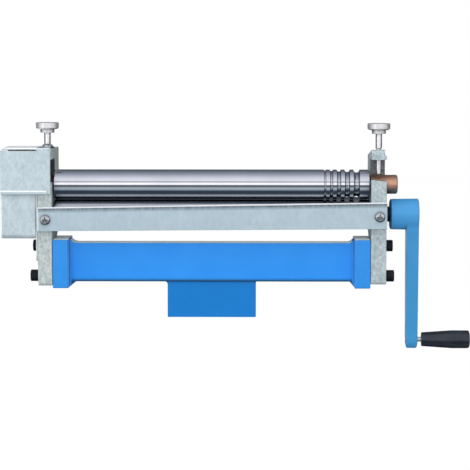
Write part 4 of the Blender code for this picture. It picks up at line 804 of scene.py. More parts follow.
def beamStations(side):
    # (x, front, back, low, high) from the web's plain part out to the flange's outer face
    stations = []
    swell, slope = beam["topSwell"][side], beam["lowSlope"][side]
    start = beam["flangeInner"] - max(swell, slope)
    for step in range(13):
        x = start + (beam["flangeInner"] - start) * step / 12
        rise = max(0, (x - beam["flangeInner"] + swell) / swell) ** 1.8
        drop = max(0, (x - beam["flangeInner"] + slope) / slope)
        root = max(0, (x - beam["flangeInner"] + beam["rootLength"]) / beam["rootLength"])
        widening = (beam["rootHalfDepth"] - beam["webHalfDepth"]) * (1 - math.sqrt(max(0, 1 - root ** 2)))
        depth = beam["webHalfDepth"] + widening
        stations.append((
            x, -depth, depth, beam["webLow"] - (beam["webLow"] - beam["flangeLow"]) * drop,
            beam["webHigh"] + (beam["flangeHigh"] - beam["webHigh"]) * rise,
        ))
    radius = beam["faceRound"]
    for step in range(6):
        turn = math.radians(90 * step / 5)
        inset = radius * (1 - math.sin(turn))
        stations.append((
            beam["flangeInner"] + radius * (1 - math.cos(turn)), beam["flangeFront"] + inset,
            beam["flangeBack"] - inset, beam["flangeLow"], beam["flangeHigh"],
        ))
    radius = beam["endRound"]
    for step in range(5):
        turn = math.radians(90 * step / 4)
        inset = radius * (1 - math.cos(turn))
        stations.append((
            beam["flangeOuter"] - radius * (1 - math.sin(turn)), beam["flangeFront"] + inset,
            beam["flangeBack"] - inset, beam["flangeLow"] + inset, beam["flangeHigh"] - inset,
        ))
    return stations


def makeBeam():
    rings = []
    for side, order in ((-1, reversed(beamStations(-1))), (1, beamStations(1))):
        for x, front, back, low, high in order:
            corner = beam["corner"]
            outline = roundedOutline([
                (front, low, corner), (back, low, corner), (back, high, corner), (front, high, corner),
            ])
            rings.append([(side * x, y, z) for y, z in outline])
    piece = looseObject("castBeam", lofted(rings))
    half, low, left, right = beam["tangHalfLength"], beam["webLow"], beam["leftFillet"], beam["rightFillet"]
    corner = beam["tangRound"]
    outline = roundCorner((-half, low), (-half, 0), (half, 0), corner, 4)
    outline += roundCorner((-half, 0), (half, 0), (half, low), corner, 4)
    outline += arcPoints((half + right, low - right), right, 180, 90, 5)
    outline += [(half + right, low + fuseOverlap), (-half - left, low + fuseOverlap)]
    outline += arcPoints((-half - left, low - left), left, 90, 0, 6)
    tang = extruded(outline, -beam["tangHalfDepth"], beam["tangHalfDepth"], "Y")
    combined(piece, [softened(tang, beam["tangRound"], angle=60)], "UNION")
    dressed(piece, finishes["beamEnamel"], "root", ["base_beam"])
    paintedInside(piece, finishes["flangeEnamel"], lambda centre, normal: abs(centre.x) > beam["flangeInner"])
    paintedInside(piece, finishes["tangEnamel"], lambda centre,
        normal: abs(centre.x) < 0.05 and centre.z < low - 0.0005)
    # painted highlight on the web's top faces
    paintedInside(piece, finishes["topEnamel"], lambda centre,
        normal: normal.z > 0.8 and centre.z > beam["webHigh"] - 0.002)
    piece.visible_glossy = False


makeBeam()
print("beam ready")


# Side frames

sideFrame = {
    "lowDepth": 0.051, "undersideDrop": 0.0165, "corner": 0.003, "edge": 0.0008, "cutEdge": 0.0003,
    "bushBore": 0.0093, "slotHalfWidth": 0.0068, "slotLow": 0.0096, "slotHigh": 0.0256, "cradle": 0.0100,
    "cradleTop": 0.0258, "screwHole": 0.0029, "topFall": 0.008, "leftLip": 0.0029, "lipInner": 0.0056,
    "lipOuter": 0.0041, "bridgeDraft": 0.0019, "footHeight": 0.0030, "flareHeight": 0.0025,
}
undersideBack = rearAxis.z - sideFrame["undersideDrop"]
cradleTop = topAxis.z + sideFrame["cradleTop"]


def frameSolid(side, bottom, topBack):
    lowBack = frameFront + sideFrame["lowDepth"]
    undersideFront = undersideBack - (frameBack - lowBack) * math.tan(rearLean)
    r = sideFrame["corner"]
    outline = roundedOutline([
        (frameFront, bottom, r), (lowBack, bottom, r), (lowBack, undersideFront, r),
        (frameBack, undersideBack, r), (frameBack, topBack, r), (frameFront, frameTop, r),
    ], 6)
    ends = sorted((side * frameInner, outerX[side]))
    return softened(extruded(outline, *ends), sideFrame["edge"], 3), ends


def frameCuts(side, ends, innerLip, outerLip):
    # bores, the slanted slot and the cradle with its mouth open to the front
    run = (ends[0] - cutOverrun, ends[1] + cutOverrun)
    half, low, high = sideFrame["slotHalfWidth"], -sideFrame["slotLow"], sideFrame["slotHigh"]
    slot = leanedOutline([(-half, low, 0.001), (half, low, 0.001), (half, high, 0.001), (-half, high, 0.001)])
    seat = sideFrame["cradle"]
    cradle = arcPoints((0, topAxis.z), seat, 180, 360, 28) + [(seat, cradleTop), (-seat, cradleTop)]
    inner, outer, overrun = side * frameInner, outerX[side], side * cutOverrun
    mouth = [
        (inner - overrun, topAxis.z + innerLip), (inner, topAxis.z + innerLip), (outer, topAxis.z + outerLip),
        (outer + overrun, topAxis.z + outerLip), (outer + overrun, cradleTop), (inner - overrun, cradleTop),
    ]
    x = screwX[side]
    return [
        bar(sideFrame["bushBore"], *run, sides=64, centre=(0, 0, lowerAxis.z)),
        extruded(roundedOutline(slot), *run), extruded(cradle, *run),
        extruded(mouth, frameFront - cutOverrun, 0, "Y"),
        bar(sideFrame["screwHole"], cradleTop - cutOverrun, frameTop + cutOverrun, 32, "Z", (x, 0, 0)),
        leaned(bar(sideFrame["screwHole"], -0.03, low + fuseOverlap, 32, "Z"), x),
    ]


def isCutFace(centre, normal):
    # inside the cradle or a slot: off the outer skin and facing along the frame's own plane
    insideDepth = frameFront + 0.002 < centre.y < frameBack - 0.002
    insideHeight = leftBottom + 0.002 < centre.z < cradleTop + 0.0014
    return insideDepth and insideHeight and abs(normal.x) < 0.5


def makeLeftFrame():
    blank, ends = frameSolid(-1, leftBottom, frameTop)
    piece = looseObject("leftCasting", blank)
    combined(piece, frameCuts(-1, ends, sideFrame["leftLip"], sideFrame["leftLip"]), "DIFFERENCE")
    edgeRounded(piece, sideFrame["cutEdge"], 2, 30)
    dressed(piece, finishes["leftCasting"], "root", ["left_frame"])
    # painted shade on the cut faces inside the cradle and slots
    paintedInside(piece, finishes["machinedCasting"], isCutFace)


def makeRightFrame():
    blank, ends = frameSolid(1, rightBottom, frameTop - sideFrame["topFall"])
    piece = looseObject("rightCasting", blank)
    foot = cradleTop + sideFrame["footHeight"]
    thin, beyond = ends[1] - sideFrame["bridgeDraft"], ends[1] + cutOverrun
    draft = extruded([
        (ends[1], foot), (beyond, foot), (beyond, frameTop + cutOverrun), (thin, frameTop + cutOverrun),
        (thin, foot + sideFrame["flareHeight"]),
    ], frameFront - cutOverrun, frameBack + cutOverrun, "Y")
    cuts = frameCuts(1, ends, sideFrame["lipInner"], sideFrame["lipOuter"])
    combined(piece, cuts + [draft], "DIFFERENCE")
    edgeRounded(piece, sideFrame["cutEdge"], 2, 30)
    dressed(piece, finishes["rightCasting"], "root", ["right_frame"])
    # painted shade on the cut faces inside the window and slots
    paintedInside(piece, finishes["windowCasting"], isCutFace)


makeLeftFrame()
makeRightFrame()
print("side frames ready")


# Gear cover

cover = {
    "splitZ": 0.1264, "step": 0.0028, "edge": 0.0012, "wall": 0.0025, "cornerCut": 0.0043, "backCut": 0.0008,
    "slotLeft": -0.2042, "slotRight": -0.1762, "slotLow": 0.1700, "slotHigh": 0.1716, "slotDepth": 0.0024,
    "lipHigh": 0.1738, "lipDepth": 0.0016, "footRound": 0.0045,
    "ribHeight": 0.0038, "ribProud": 0.0012, "ribBevel": 0.0013, "ribRight": -0.1655, "postRadius": 0.0042,
    "postY": 0.0243, "postHeights": (0.1607, 0.0885), "topRise": 0.0013,
}


def makeCover():
    (left, right), (front, back), (low, high) = (span("gear_cover", axis) for axis in "XYZ")
    rim = -span("cover_back_plate", "X")[0] + seatGap / 3
    lowerFront = front + cover["step"]
    flapBack = frameFront - seatGap
    plan = [(left, front), (right, front), (right, flapBack), (-rim, flapBack), (-rim, back), (left, back)]
    upper = looseObject("castCover", extruded(plan, cover["splitZ"], high, "Z"))
    reach = cover["cornerCut"]
    corner = lofted([
        [(left, y, high - cut), (left + cut, y, high), (left + cut, y, high + cutOverrun),
         (left - cutOverrun, y, high + cutOverrun), (left - cutOverrun, y, high - cut)]
        for y, cut in ((front - cutOverrun, reach), (back + cutOverrun, cover["backCut"]))
    ])
    combined(upper, [corner], "DIFFERENCE")
    edgeRounded(upper, cover["edge"], 4)
    lowerTop = cover["splitZ"] + cover["edge"] + fuseOverlap
    lower = extruded(roundedOutline([
        (lowerFront, low, cover["footRound"]), (back, low, cover["edge"]), (back, lowerTop, 0),
        (lowerFront, lowerTop, 0),
    ], 8), left, -rim)
    ribLow, ribTop, ribFront = cover["splitZ"], cover["splitZ"] + cover["ribHeight"], front - cover["ribProud"]
    rib = extruded([
        (front + fuseOverlap, ribLow), (ribFront, ribLow), (ribFront, ribTop - cover["ribBevel"]),
        (front, ribTop),
        (front + fuseOverlap, ribTop),
    ], left + 0.0006, cover["ribRight"])
    posts = [
        bar(cover["postRadius"], left + cover["wall"] / 2, -rim, 40, centre=(0, cover["postY"], z))
        for z in cover["postHeights"]
    ]
    combined(upper, [softened(lower, cover["edge"], 3, 60), softened(rib, 0.0002, 2)], "UNION")
    cavity = boxShape(
        (left + cover["wall"], -rim + cutOverrun), (lowerFront + cover["wall"], back - cover["wall"]),
        (low + cover["wall"], high - cover["wall"] - cover["topRise"]),
    )
    # a finger slot under a bevelled lip
    ahead, slotBack = front - cutOverrun, front + cover["slotDepth"]
    slot = extruded([
        (ahead, cover["slotLow"]), (slotBack, cover["slotLow"]), (slotBack, cover["slotHigh"]),
        (front, cover["slotHigh"]), (front + cover["lipDepth"], cover["lipHigh"]), (ahead, cover["lipHigh"]),
    ], cover["slotLeft"], cover["slotRight"])
    combined(upper, [cavity, slot], "DIFFERENCE")
    combined(upper, posts, "UNION")
    dressed(upper, finishes["coverCasting"], "root", ["gear_cover"])

    def isSlotFace(centre, normal):
        inSlot = cover["slotLow"] - 0.0001 < centre.z < cover["slotHigh"] + 0.0001
        return inSlot and front + 0.0001 < centre.y < slotBack + 0.0001 and centre.x < cover["slotRight"] + 0.0001

    # painted highlight on the rib's top, the slot's lip, the top faces and the left front edge
    def isHighlightFace(centre, normal):
        onRib = centre.y < front - 0.00005 and ribLow < centre.z < ribTop + 0.0001 and normal.z > 0.3
        onLip = cover["slotLeft"] < centre.x < cover["slotRight"] and centre.z > cover["slotHigh"] and (
            0.2 < normal.z < 0.95 and normal.y < -0.2)
        onTop = normal.z > 0.5 and centre.z > high - 0.003
        return onRib or onLip or onTop or (normal.x < -0.25 and normal.y < -0.25 and centre.z < high - reach)

    paintedInside(upper, finishes["slotShadow"], isSlotFace)
    paintedInside(upper, finishes["wornEdge"], isHighlightFace)


makeCover()
print("cover ready")


# Guard bar

guardBar = {
    "bevel": 0.0022, "thickness": 0.006, "leftHeight": 0.0238, "rightHeight": 0.0266, "edge": 0.00035,
    "leftTop": 0.1132, "rightTop": 0.1185,
}


def makeGuardBar():
    left, right = span("guard_bar", "X")
    backY = frameFront - seatGap
    frontY = backY - guardBar["thickness"]
    rings = []
    for x, top, height in (
        (left, guardBar["leftTop"], guardBar["leftHeight"]),
        (right, guardBar["rightTop"], guardBar["rightHeight"]),
    ):
        rings.append([
            (x, frontY, top - height), (x, backY, top - height), (x, backY, top),
            (x, frontY + guardBar["bevel"], top), (x, frontY, top - guardBar["bevel"]),
        ])
    piece = looseObject("frontBar", lofted(rings))
    edgeRounded(piece, guardBar["edge"], 3)
    dressed(piece, finishes["barZinc"], "root", ["guard_bar"])
    piece.visible_glossy = False


makeGuardBar()


# Screws, each made once and then placed by the repeat tree

panScrew = {
    "radius": 0.00525, "height": 0.0030, "shank": 0.0025, "shankLength": 0.004, "crossLength": 0.0056,
    "crossWidth": 0.0011, "crossDepth": 0.0009,
}
capScrew = {
    "radius": 0.0059, "height": 0.0082, "shank": 0.004, "shankLength": 0.004, "socketRadius": 0.0034,
    "socketDepth": 0.004, "ridges": 44, "ridgeDepth": 0.00018, "edge": 0.0007,
}


def panHead():
    r, h = panScrew["radius"], panScrew["height"]
    profile = [(-panScrew["shankLength"], 0), (-panScrew["shankLength"], panScrew["shank"]),
        (0, panScrew["shank"])]
    profile += [(0, r - 0.0002), (0.0002, r), (0.0008, r)]
    for step in range(1, 9):
        turn = math.radians(90 * step / 8)
        profile.append((0.0008 + (h - 0.0008) * math.sin(turn),
            0.0008 + (r - 0.0008) * math.cos(turn) ** 0.62))
    profile.append((h, 0))
    head = looseObject("panScrewOriginal", turned(profile, 56, "Z"))
    half, width = panScrew["crossLength"] / 2, panScrew["crossWidth"] / 2
    deep, over = h - panScrew["crossDepth"], h + cutOverrun
    arms = [
        lofted([
            [(-a * narrow, -b * narrow, z), (a * narrow, -b * narrow, z), (a * narrow, b * narrow, z),
                (-a * narrow, b * narrow, z)]
            for z, narrow in ((deep, 0.55), (h, 1.0), (over, 1.0))
        ]) for a, b in ((half, width), (width, half))
    ]
    return combined(head, arms, "DIFFERENCE")


def capHead():
    r, h = capScrew["radius"], capScrew["height"]
    skin = ridgedMesh("capScrewOriginal", finishes["blackOxide"], {
        "radius": r, "length": h, "ridges": capScrew["ridges"], "depth": capScrew["ridgeDepth"],
        "endRound": capScrew["edge"], "around": 264, "along": 20,
    })
    shank = bar(capScrew["shank"], -capScrew["shankLength"], fuseOverlap, 40, "Z")
    combined(skin, [shank], "UNION")
    hexagon = arcPoints((0, 0), capScrew["socketRadius"], 0, 300, 5)
    socket = extruded(hexagon, h - capScrew["socketDepth"], h + cutOverrun, "Z")
    return combined(skin, [socket], "DIFFERENCE")


def screwPlaces(nodes, seat, turn):
    # the seat is the coordinate of the face that a head stands on
    places = []
    for node in nodes:
        place = middle(node)
        for axis, value in seat.items():
            place[axisIndex[axis]] = value
        places.append((place, turn))
    return places


barSeat = frameFront - 2 * seatGap - guardBar["thickness"]
panPlaces = screwPlaces(("guard_bar_screw_left", "guard_bar_screw_right"), {"Y": barSeat},
    (math.pi / 2, 0, 0))
panPlaces += screwPlaces(
    ("cover_screw_upper", "cover_screw_lower"), {"X": span("gear_cover", "X")[0] - seatGap},
    (0, -math.pi / 2, 0)
)
panScrews = repeated("panScrews", panHead(), finishes["panZinc"], panPlaces)
dressed(panScrews, finishes["panZinc"], "root", [
    "guard_bar_screw_left", "guard_bar_screw_right", "cover_screw_upper", "cover_screw_lower",
])
capPlaces = screwPlaces(
    ("frame_screw_left_lower", "frame_screw_left_upper"), {"X": -leftOuter - seatGap}, (0, -math.pi / 2, 0)
) + screwPlaces(
    ("frame_screw_right_lower", "frame_screw_right_upper"), {"X": rightOuter + seatGap}, (0, math.pi / 2, 0)
)
capScrews = repeated("capScrews", capHead(), finishes["blackOxide"], capPlaces)
dressed(capScrews, finishes["blackOxide"], "root", [
    "frame_screw_left_lower", "frame_screw_left_upper", "frame_screw_right_lower", "frame_screw_right_upper",
])
print("fixed screws ready")


# Rolls

roll = {
    "radius": 0.015, "journal": 0.006, "endRound": 0.0008, "grooves": (0.002, 0.003, 0.004, 0.005, 0.006),
    "land": 0.004, "endLand": 0.010, "half": 0.160, "sides": 160,
}


def rollProfile(left, right, grooves):
    r, journal, half, edge = roll["radius"], roll["journal"], roll["half"], roll["endRound"]
    profile = [(left, 0), (left, journal - 0.0006), (left + 0.0006, journal), (-half, journal)]
    profile += [(-half + edge - edge * math.cos(a), r - edge + edge * math.sin(a)) for a in (0, 0.4, 0.8,
        1.2, math.pi / 2)]
    x = half - roll["endLand"] - sum(grooves) - roll["land"] * (len(grooves) - 1)
    for width in grooves:
        lead = 0.00015
        profile += [(x - lead, r), (x, r - lead)]
        profile += arcPoints((x + width / 2, r), width / 2, 190, 350, 10)
        profile += [(x + width, r - lead), (x + width + lead, r)]
        x += width + roll["land"]
    profile += [(half - edge + edge * math.sin(a), r - edge + edge * math.cos(a)) for a in (0, 0.4, 0.8,
        1.2, math.pi / 2)]
    profile += [(half, journal), (right - 0.0006, journal), (right, journal - 0.0006), (right, 0)]
    return profile


def makeRoll(name, node, body, grooves, finish):
    left, right = span(node, "X")
    place = middle(node)
    profile = rollProfile(left, right, grooves)
    piece = looseObject(name, turned(profile, roll["sides"], "X", (0, place.y, place.z)))
    if node == "lower_roll":
        flat = boxShape((span("crank_arm", "X")[0], right + cutOverrun), (0.0046, 0.01),
            (place.z - 0.008, place.z + 0.008))
        combined(piece, [flat], "DIFFERENCE")
    dressed(piece, finishes[finish], body, [node], 30)


makeRoll("lowerPinchRoll", "lower_roll", "crank", roll["grooves"], "groundSteel")
makeRoll("topPinchRoll", "top_roll", "top_roll", roll["grooves"], "groundSteel")
makeRoll("idlerRoll", "rear_roll", "rear_roll", (), "rearSteel")
print("rolls ready")


# Bearings

bearing = {"bore": 0.0063, "bushRound": 0.0020, "bushEdge": 0.0004, "edge": 0.0004, "collarEdge": 0.0005}


def hollowProfile(low, high, outer, bore, lowRound, highRound):
    # an open ring section, closed by its own bore
    section = roundedOutline([
        (low, bore, 0.0003), (high, bore, 0.0003), (high, outer, highRound), (low, outer, lowRound),
    ], 6)
    return section


def ringSolid(section, sides, direction, centre):
    # a ring turned from a closed (along, radius) section
    shape = bmesh.new()
    loops = []
    for i in range(sides):
        turn = 2 * math.pi * i / sides
        loops.append([
            shape.verts.new((radius * math.cos(turn), radius * math.sin(turn), along)) for along,
            radius in section
        ])
    count = len(section)
    for i in range(sides):
        here, after = loops[i], loops[(i + 1) % sides]
        for j in range(count):
            k = (j + 1) % count
            shape.faces.new((here[j], here[k], after[k], after[j]))
    bmesh.ops.transform(shape, matrix=Matrix.Translation(centre) @ turnsTo[direction], verts=shape.verts)
    bmesh.ops.recalc_face_normals(shape, faces=shape.faces)
    return shape


def makeTopBush(name, node, endRound, finish):
    low, high = span(node, "X")
    outer = (span(node, "Z")[1] - span(node, "Z")[0]) / 2
    section = hollowProfile(low, high, outer, bearing["bore"], bearing["bushEdge"], endRound)
    piece = looseObject(name, ringSolid(section, 96, "X", (0, 0, topAxis.z)))
    dressed(piece, finishes[finish], "top_bearings", [node], 30)


def makeCollar():
    low, high = span("shaft_collar", "X")
    outer = (span("shaft_collar", "Z")[1] - span("shaft_collar", "Z")[0]) / 2
    section = hollowProfile(low, high, outer, bearing["bore"], bearing["collarEdge"], bearing["collarEdge"])
    piece = looseObject("spacerCollar", ringSolid(section, 72, "X", (0, 0, lowerAxis.z)))
    dressed(piece, finishes["blackOxide"], "crank", ["shaft_collar"], 30)


def makeRearBlock(name, node, side):
    half, tall = 0.0065, 0.0093
    inner, outer = frameInner + seatGap, abs(outerX[side])
    ends = sorted((side * inner, side * outer))
    shape = softened(boxShape(ends, (-half, half), (-tall, tall)), bearing["edge"], 2)
    piece = looseObject(name, leaned(shape, 0))
    if side > 0:
        margin, thick = 0.0022, 0.002
        plate = boxShape((outer + seatGap, outer + seatGap + thick), (-half - margin, half + margin),
            (-tall - margin, tall + margin))
        neck = boxShape((outer - fuseOverlap, outer + seatGap + thick / 2), (-half + 0.0005, half - 0.0005),
            (-tall + 0.0005, tall - 0.0005))
        combined(piece, [leaned(softened(plate, bearing["edge"], 2), 0), leaned(neck, 0)], "UNION")
    bore = bar(bearing["bore"], ends[0] - cutOverrun, ends[1] + 2 * cutOverrun, 48, "X",
        (0, rearAxis.y, rearAxis.z))
    combined(piece, [bore], "DIFFERENCE")
    dressed(piece, finishes["bushBronze"], "rear_bearings", [node], 30)


makeTopBush("bronzeBush", "release_bush", bearing["bushRound"], "bushBronze")
# the left bush gets the darker bronze of painted shade
makeTopBush("leftBronzeBush", "top_left_bush", bearing["bushEdge"], "dullBronze")
makeCollar()
makeRearBlock("rearLeftSlider", "rear_left_block", -1)
makeRearBlock("rearRightSlider", "rear_right_block", 1)
print("bearings ready")


# Pressure and adjusting screws with their knobs

thumbScrew = {
    "thread": 0.0026, "threadDepth": 0.00006, "pitch": 0.00125, "neck": 0.0033, "knobRadius": 0.0116,
    "rearKnobRadius": 0.0113,
    "rimHeight": 0.0068, "topEdge": 0.0007, "lowerEdge": 0.0016,
    "collarRadius": 0.00725, "collarHeight": 0.0038, "boreDepth": 0.0075, "leftDrop": 0.0009,
}


def thumbScrewParts(name, tip, neck, collar, wide):
    # along +Z from the tip to the knob; returns the screw and the knob
    length = neck - tip + 0.0002
    thread = ridgedMesh(name + "Thread", finishes["screwZinc"], {
        "radius": thumbScrew["thread"], "length": length, "ridges": 1,
        "helixTurns": length / thumbScrew["pitch"],
        "depth": thumbScrew["threadDepth"], "endRound": 0.0008, "around": 32,
        "along": int(length / thumbScrew["pitch"] * 9),
    }, "Z", (0, 0, tip))
    endZ = collar + thumbScrew["boreDepth"] - seatGap
    plain = looseObject(name + "Neck", turned(
        roundedProfile([(neck, 0), (neck, thumbScrew["neck"], 0.0003), (endZ, thumbScrew["neck"], 0.0003),
            (endZ, 0)]),
        48, "Z",
    ))
    screw = joined(name + "Screw", [thread, plain])
    rimZ = collar + thumbScrew["collarHeight"]
    top = rimZ + thumbScrew["rimHeight"]
    lowerEdge, topEdge = thumbScrew["lowerEdge"], thumbScrew["topEdge"]
    rim = looseObject(name + "Rim", turned(roundedProfile([
        (rimZ, 0), (rimZ, wide - lowerEdge, 0.0004), (rimZ + lowerEdge * 0.8, wide, 0.0005),
        (top - topEdge, wide, 0.0003), (top, wide - topEdge, 0.0003), (top, 0),
    ]), 144, "Z"))
    r = thumbScrew["collarRadius"]
    collarShape = turned(roundedProfile([
        (collar, 0), (collar, r, 0.0005), (rimZ + 0.0004, r, 0.0003), (rimZ + 0.0004, 0),
    ]), 72, "Z")
    bore = bar(thumbScrew["neck"] + seatGap, collar - cutOverrun, collar + thumbScrew["boreDepth"], 40, "Z")
    combined(rim, [collarShape], "UNION")
    combined(rim, [bore], "DIFFERENCE")
    rim.name = name + "Knob"
    return screw, rim


def placeThumbScrew(name, prefix, body, tip, neck, collar, wide, matrix):
    screw, knob = thumbScrewParts(name, tip, neck, collar, wide)
    for piece, finish, node in ((screw, "screwZinc", f"{prefix}_screw"), (knob, "turnedZinc", f"{prefix}_knob")):
        piece.data.transform(matrix)
        dressed(piece, finishes[finish], body, [node], 35)


nutTop = span("jam_nut", "Z")[1]
for name, prefix, side, seat in (("leftPressure", "left_pressure", -1, nutTop),
        ("rightPressure", "right_pressure", 1, frameTop)):
    drop = thumbScrew["leftDrop"] if side < 0 else 0
    placeThumbScrew(
        name, prefix, prefix, span(f"{prefix}_screw", "Z")[0], seat + seatGap, span(f"{prefix}_knob", "Z")[0] - drop,
        thumbScrew["knobRadius"], Matrix.Translation((screwX[side], 0, 0)),
    )
underside = (frameBack - rearAxis.y) * math.sin(rearLean) + (rearAxis.z - undersideBack) * math.cos(rearLean)
for name, prefix, side in (("rearLeft", "rear_left", -1), ("rearRight", "rear_right", 1)):
    collarAt = underside + 0.016 + 0.002
    turn = Matrix.Translation((screwX[side], rearAxis.y, rearAxis.z)) @ Matrix.Rotation(rearLean + math.pi,
        4, "X")
    placeThumbScrew(
        name, prefix, f"{prefix}_adjuster", 0.0096, collarAt - 0.001, collarAt, thumbScrew["rearKnobRadius"], turn
    )
print("thumb screws ready")


# Jam nut: a hexagon turned to a long cone above its rim

jamNut = {"apothem": 0.006, "rimHeight": 0.0008, "topRadius": 0.0043, "bore": 0.0029, "edge": 0.00018}


def makeJamNut():
    low, high = span("jam_nut", "Z")
    corner = jamNut["apothem"] / math.cos(math.pi / 6)
    piece = looseObject("hexJamNut", extruded(arcPoints((0, 0), corner, 0, 300, 5), low, high, "Z"))
    cone = turned([
        (low, 0), (low, corner), (low + jamNut["rimHeight"], corner), (high, jamNut["topRadius"]), (high, 0),
    ], 72, "Z")
    combined(piece, [cone], "INTERSECT")
    combined(piece, [bar(jamNut["bore"], low - cutOverrun, high + cutOverrun, 40, "Z")], "DIFFERENCE")
    edgeRounded(piece, jamNut["edge"], 2, 25)
    piece.data.transform(Matrix.Translation((screwX[-1], 0, 0)))
    dressed(piece, finishes["screwZinc"], "root", ["jam_nut"], 25)


makeJamNut()


# Crank, its pin and the turning grip

crank = {
    "hubRadius": 0.0159, "noseRadius": 0.0155, "armThickness": 0.0127, "rootHalfWidth": 0.0105,
    "taperShare": 0.07, "endTaperShare": 0.17,
    "shoulder": 0.012, "reach": 0.1285, "endRadius": 0.009, "edge": 0.0016, "noseRound": 0.0022,
    "pinHole": 0.0028, "setScrewInset": 0.009, "setScrewRadius": 0.0030, "flat": 0.0049,
}


def armOutline(axisZ):
    # side view: from inside the hub over a hollow shoulder down to the round end and up again
    hollowY = crank["rootHalfWidth"] + crank["shoulder"]
    hollowZ = -math.sqrt((crank["hubRadius"] + crank["shoulder"]) ** 2 - hollowY ** 2)
    drop = math.degrees(math.atan2(-hollowZ, hollowY))
    rear = arcPoints((hollowY, hollowZ), crank["shoulder"], 180, 180 - drop, 8)
    rear.append((crank["hubRadius"] * 0.5, 0))
    front = [(-y, z) for y, z in reversed(rear)]
    end = arcPoints((0, -crank["reach"]), crank["endRadius"], 180, 360, 28)
    return [(y, axisZ + z) for y, z in front + end + rear]


def tapered(mesh, middleX, axisZ):
    # the arm thins a little towards the grip, and more round its end
    for vertex in mesh.vertices:
        down = max(0, axisZ - vertex.co.z)
        end = max(0, down - crank["reach"]) / crank["endRadius"]
        share = 1 - crank["taperShare"] * min(1, down / crank["reach"]) - crank["endTaperShare"] * end ** 3
        vertex.co.x = middleX + (vertex.co.x - middleX) * share


def makeCrank():
    nose, outer = span("crank_arm", "X")
    armX = outer - crank["armThickness"]
    axisZ = lowerAxis.z
    outline = armOutline(axisZ)
    piece = looseObject("crankCasting", extruded(outline, armX, outer))
    edgeRounded(piece, crank["edge"], 5)
    tapered(piece.data, (armX + outer) / 2, axisZ)
    hub = turned(roundedProfile([
        (nose, 0), (nose, crank["noseRadius"], crank["noseRound"]),
        (outer, crank["hubRadius"], crank["edge"]), (outer, 0),
    ], 8), 112, "X", (0, 0, axisZ))
    combined(piece, [hub], "UNION")
    half = math.degrees(math.acos(crank["flat"] / bearing["bore"]))
    flatted = arcPoints((0, axisZ), bearing["bore"], half, 360 - half, 40)
    combined(piece, [
        extruded(flatted, nose - cutOverrun, outer + cutOverrun),
        bar(crank["pinHole"], armX - cutOverrun, outer + cutOverrun, 40, "X", (0, 0, axisZ - crank["reach"])),
        bar(
            crank["setScrewRadius"], 0, crank["hubRadius"] + cutOverrun, 40, "Y",
            (nose + crank["setScrewInset"], 0, axisZ),
        ),
    ], "DIFFERENCE")
    dressed(piece, finishes["crankEnamel"], "crank", ["crank_arm"], 32)
    paintedInside(piece, finishes["armEnamel"], lambda centre,
        normal: centre.z < axisZ - crank["hubRadius"] - 0.001)
    # painted shade on the hub's nose
    paintedInside(piece, finishes["noseEnamel"], lambda centre,
        normal: centre.x < nose + 0.002 and normal.x < -0.4)


def makeSetScrew():
    low, high = span("crank_set_screw", "Y")
    place = (middle("crank_set_screw").x, 0, lowerAxis.z)
    piece = looseObject("socketSetScrew", turned(roundedProfile([
        (low, 0), (low, 0.0027, 0.0006), (high, 0.0027, 0.0004), (high, 0),
    ]), 48, "Y", place))
    socket = extruded(arcPoints((place[0], place[2]), 0.0014, 0, 300, 5), high - 0.003, high + cutOverrun,
        "Y")
    combined(piece, [socket], "DIFFERENCE")
    dressed(piece, finishes["blackOxide"], "crank", ["crank_set_screw"], 30)


grip = {
    "neck": 0.00715, "radius": 0.00925, "taperShare": 0.62, "flutes": 8, "fluteDepth": 0.00055,
    "startRound": 0.0004, "endRound": 0.0026, "bore": 0.0028, "recessRadius": 0.0043, "recessDepth": 0.0038,
}


def makeGrip():
    low, high = span("grip", "X")
    centre = (0, 0, lowerAxis.z - crank["reach"])
    piece = ridgedMesh("flutedGrip", finishes["gripPlastic"], {
        "radius": grip["neck"], "endRadius": grip["radius"], "taperShare": grip["taperShare"],
        "length": high - low, "ridges": grip["flutes"], "depth": grip["fluteDepth"],
        "startRound": grip["startRound"], "endRound": grip["endRound"], "around": 128, "along": 120,
    }, "X", (low, 0, centre[2]))
    combined(piece, [
        bar(grip["bore"], low - cutOverrun, high + cutOverrun, 36, "X", centre),
        bar(grip["recessRadius"], high - grip["recessDepth"], high + cutOverrun, 48, "X", centre),
    ], "DIFFERENCE")
    dressed(piece, finishes["gripPlastic"], "grip", ["grip"], 40)


def makeGripPin():
    low, high = span("grip_pin", "X")
    centre = (0, 0, lowerAxis.z - crank["reach"])
    head = high - 0.0025
    piece = looseObject("rivetPin", turned(roundedProfile([
        (low, 0), (low, 0.0025, 0.0003), (head, 0.0025, 0), (head, 0.0040, 0.0003),
        (high - 0.0006, 0.0040, 0.0012),
        (high, 0.0016, 0.0008), (high, 0),
    ], 5), 56, "X", centre))
    dressed(piece, finishes["turnedZinc"], "crank", ["grip_pin"], 35)


makeCrank()
makeSetScrew()
makeGrip()
makeGripPin()
print("crank ready")


# CAD solids that keep their own shape and get a finish

keptFinishes = {
    "cover_back_plate": "plateZinc", "lower_gear": "gearSteel", "upper_gear": "gearSteel",
    "lower_gear_washer": "screwZinc", "upper_gear_washer": "screwZinc", "lower_gear_screw": "blackOxide",
    "upper_gear_screw": "blackOxide", "lower_left_bush": "bushBronze",
    "lower_right_bush": "bushBronze",
}
for node, finishName in keptFinishes.items():
    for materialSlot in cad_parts[node].material_slots:
        materialSlot.material = finishes[finishName]


# Stage: floor, light tent that only gloss sees, lamps, world and camera

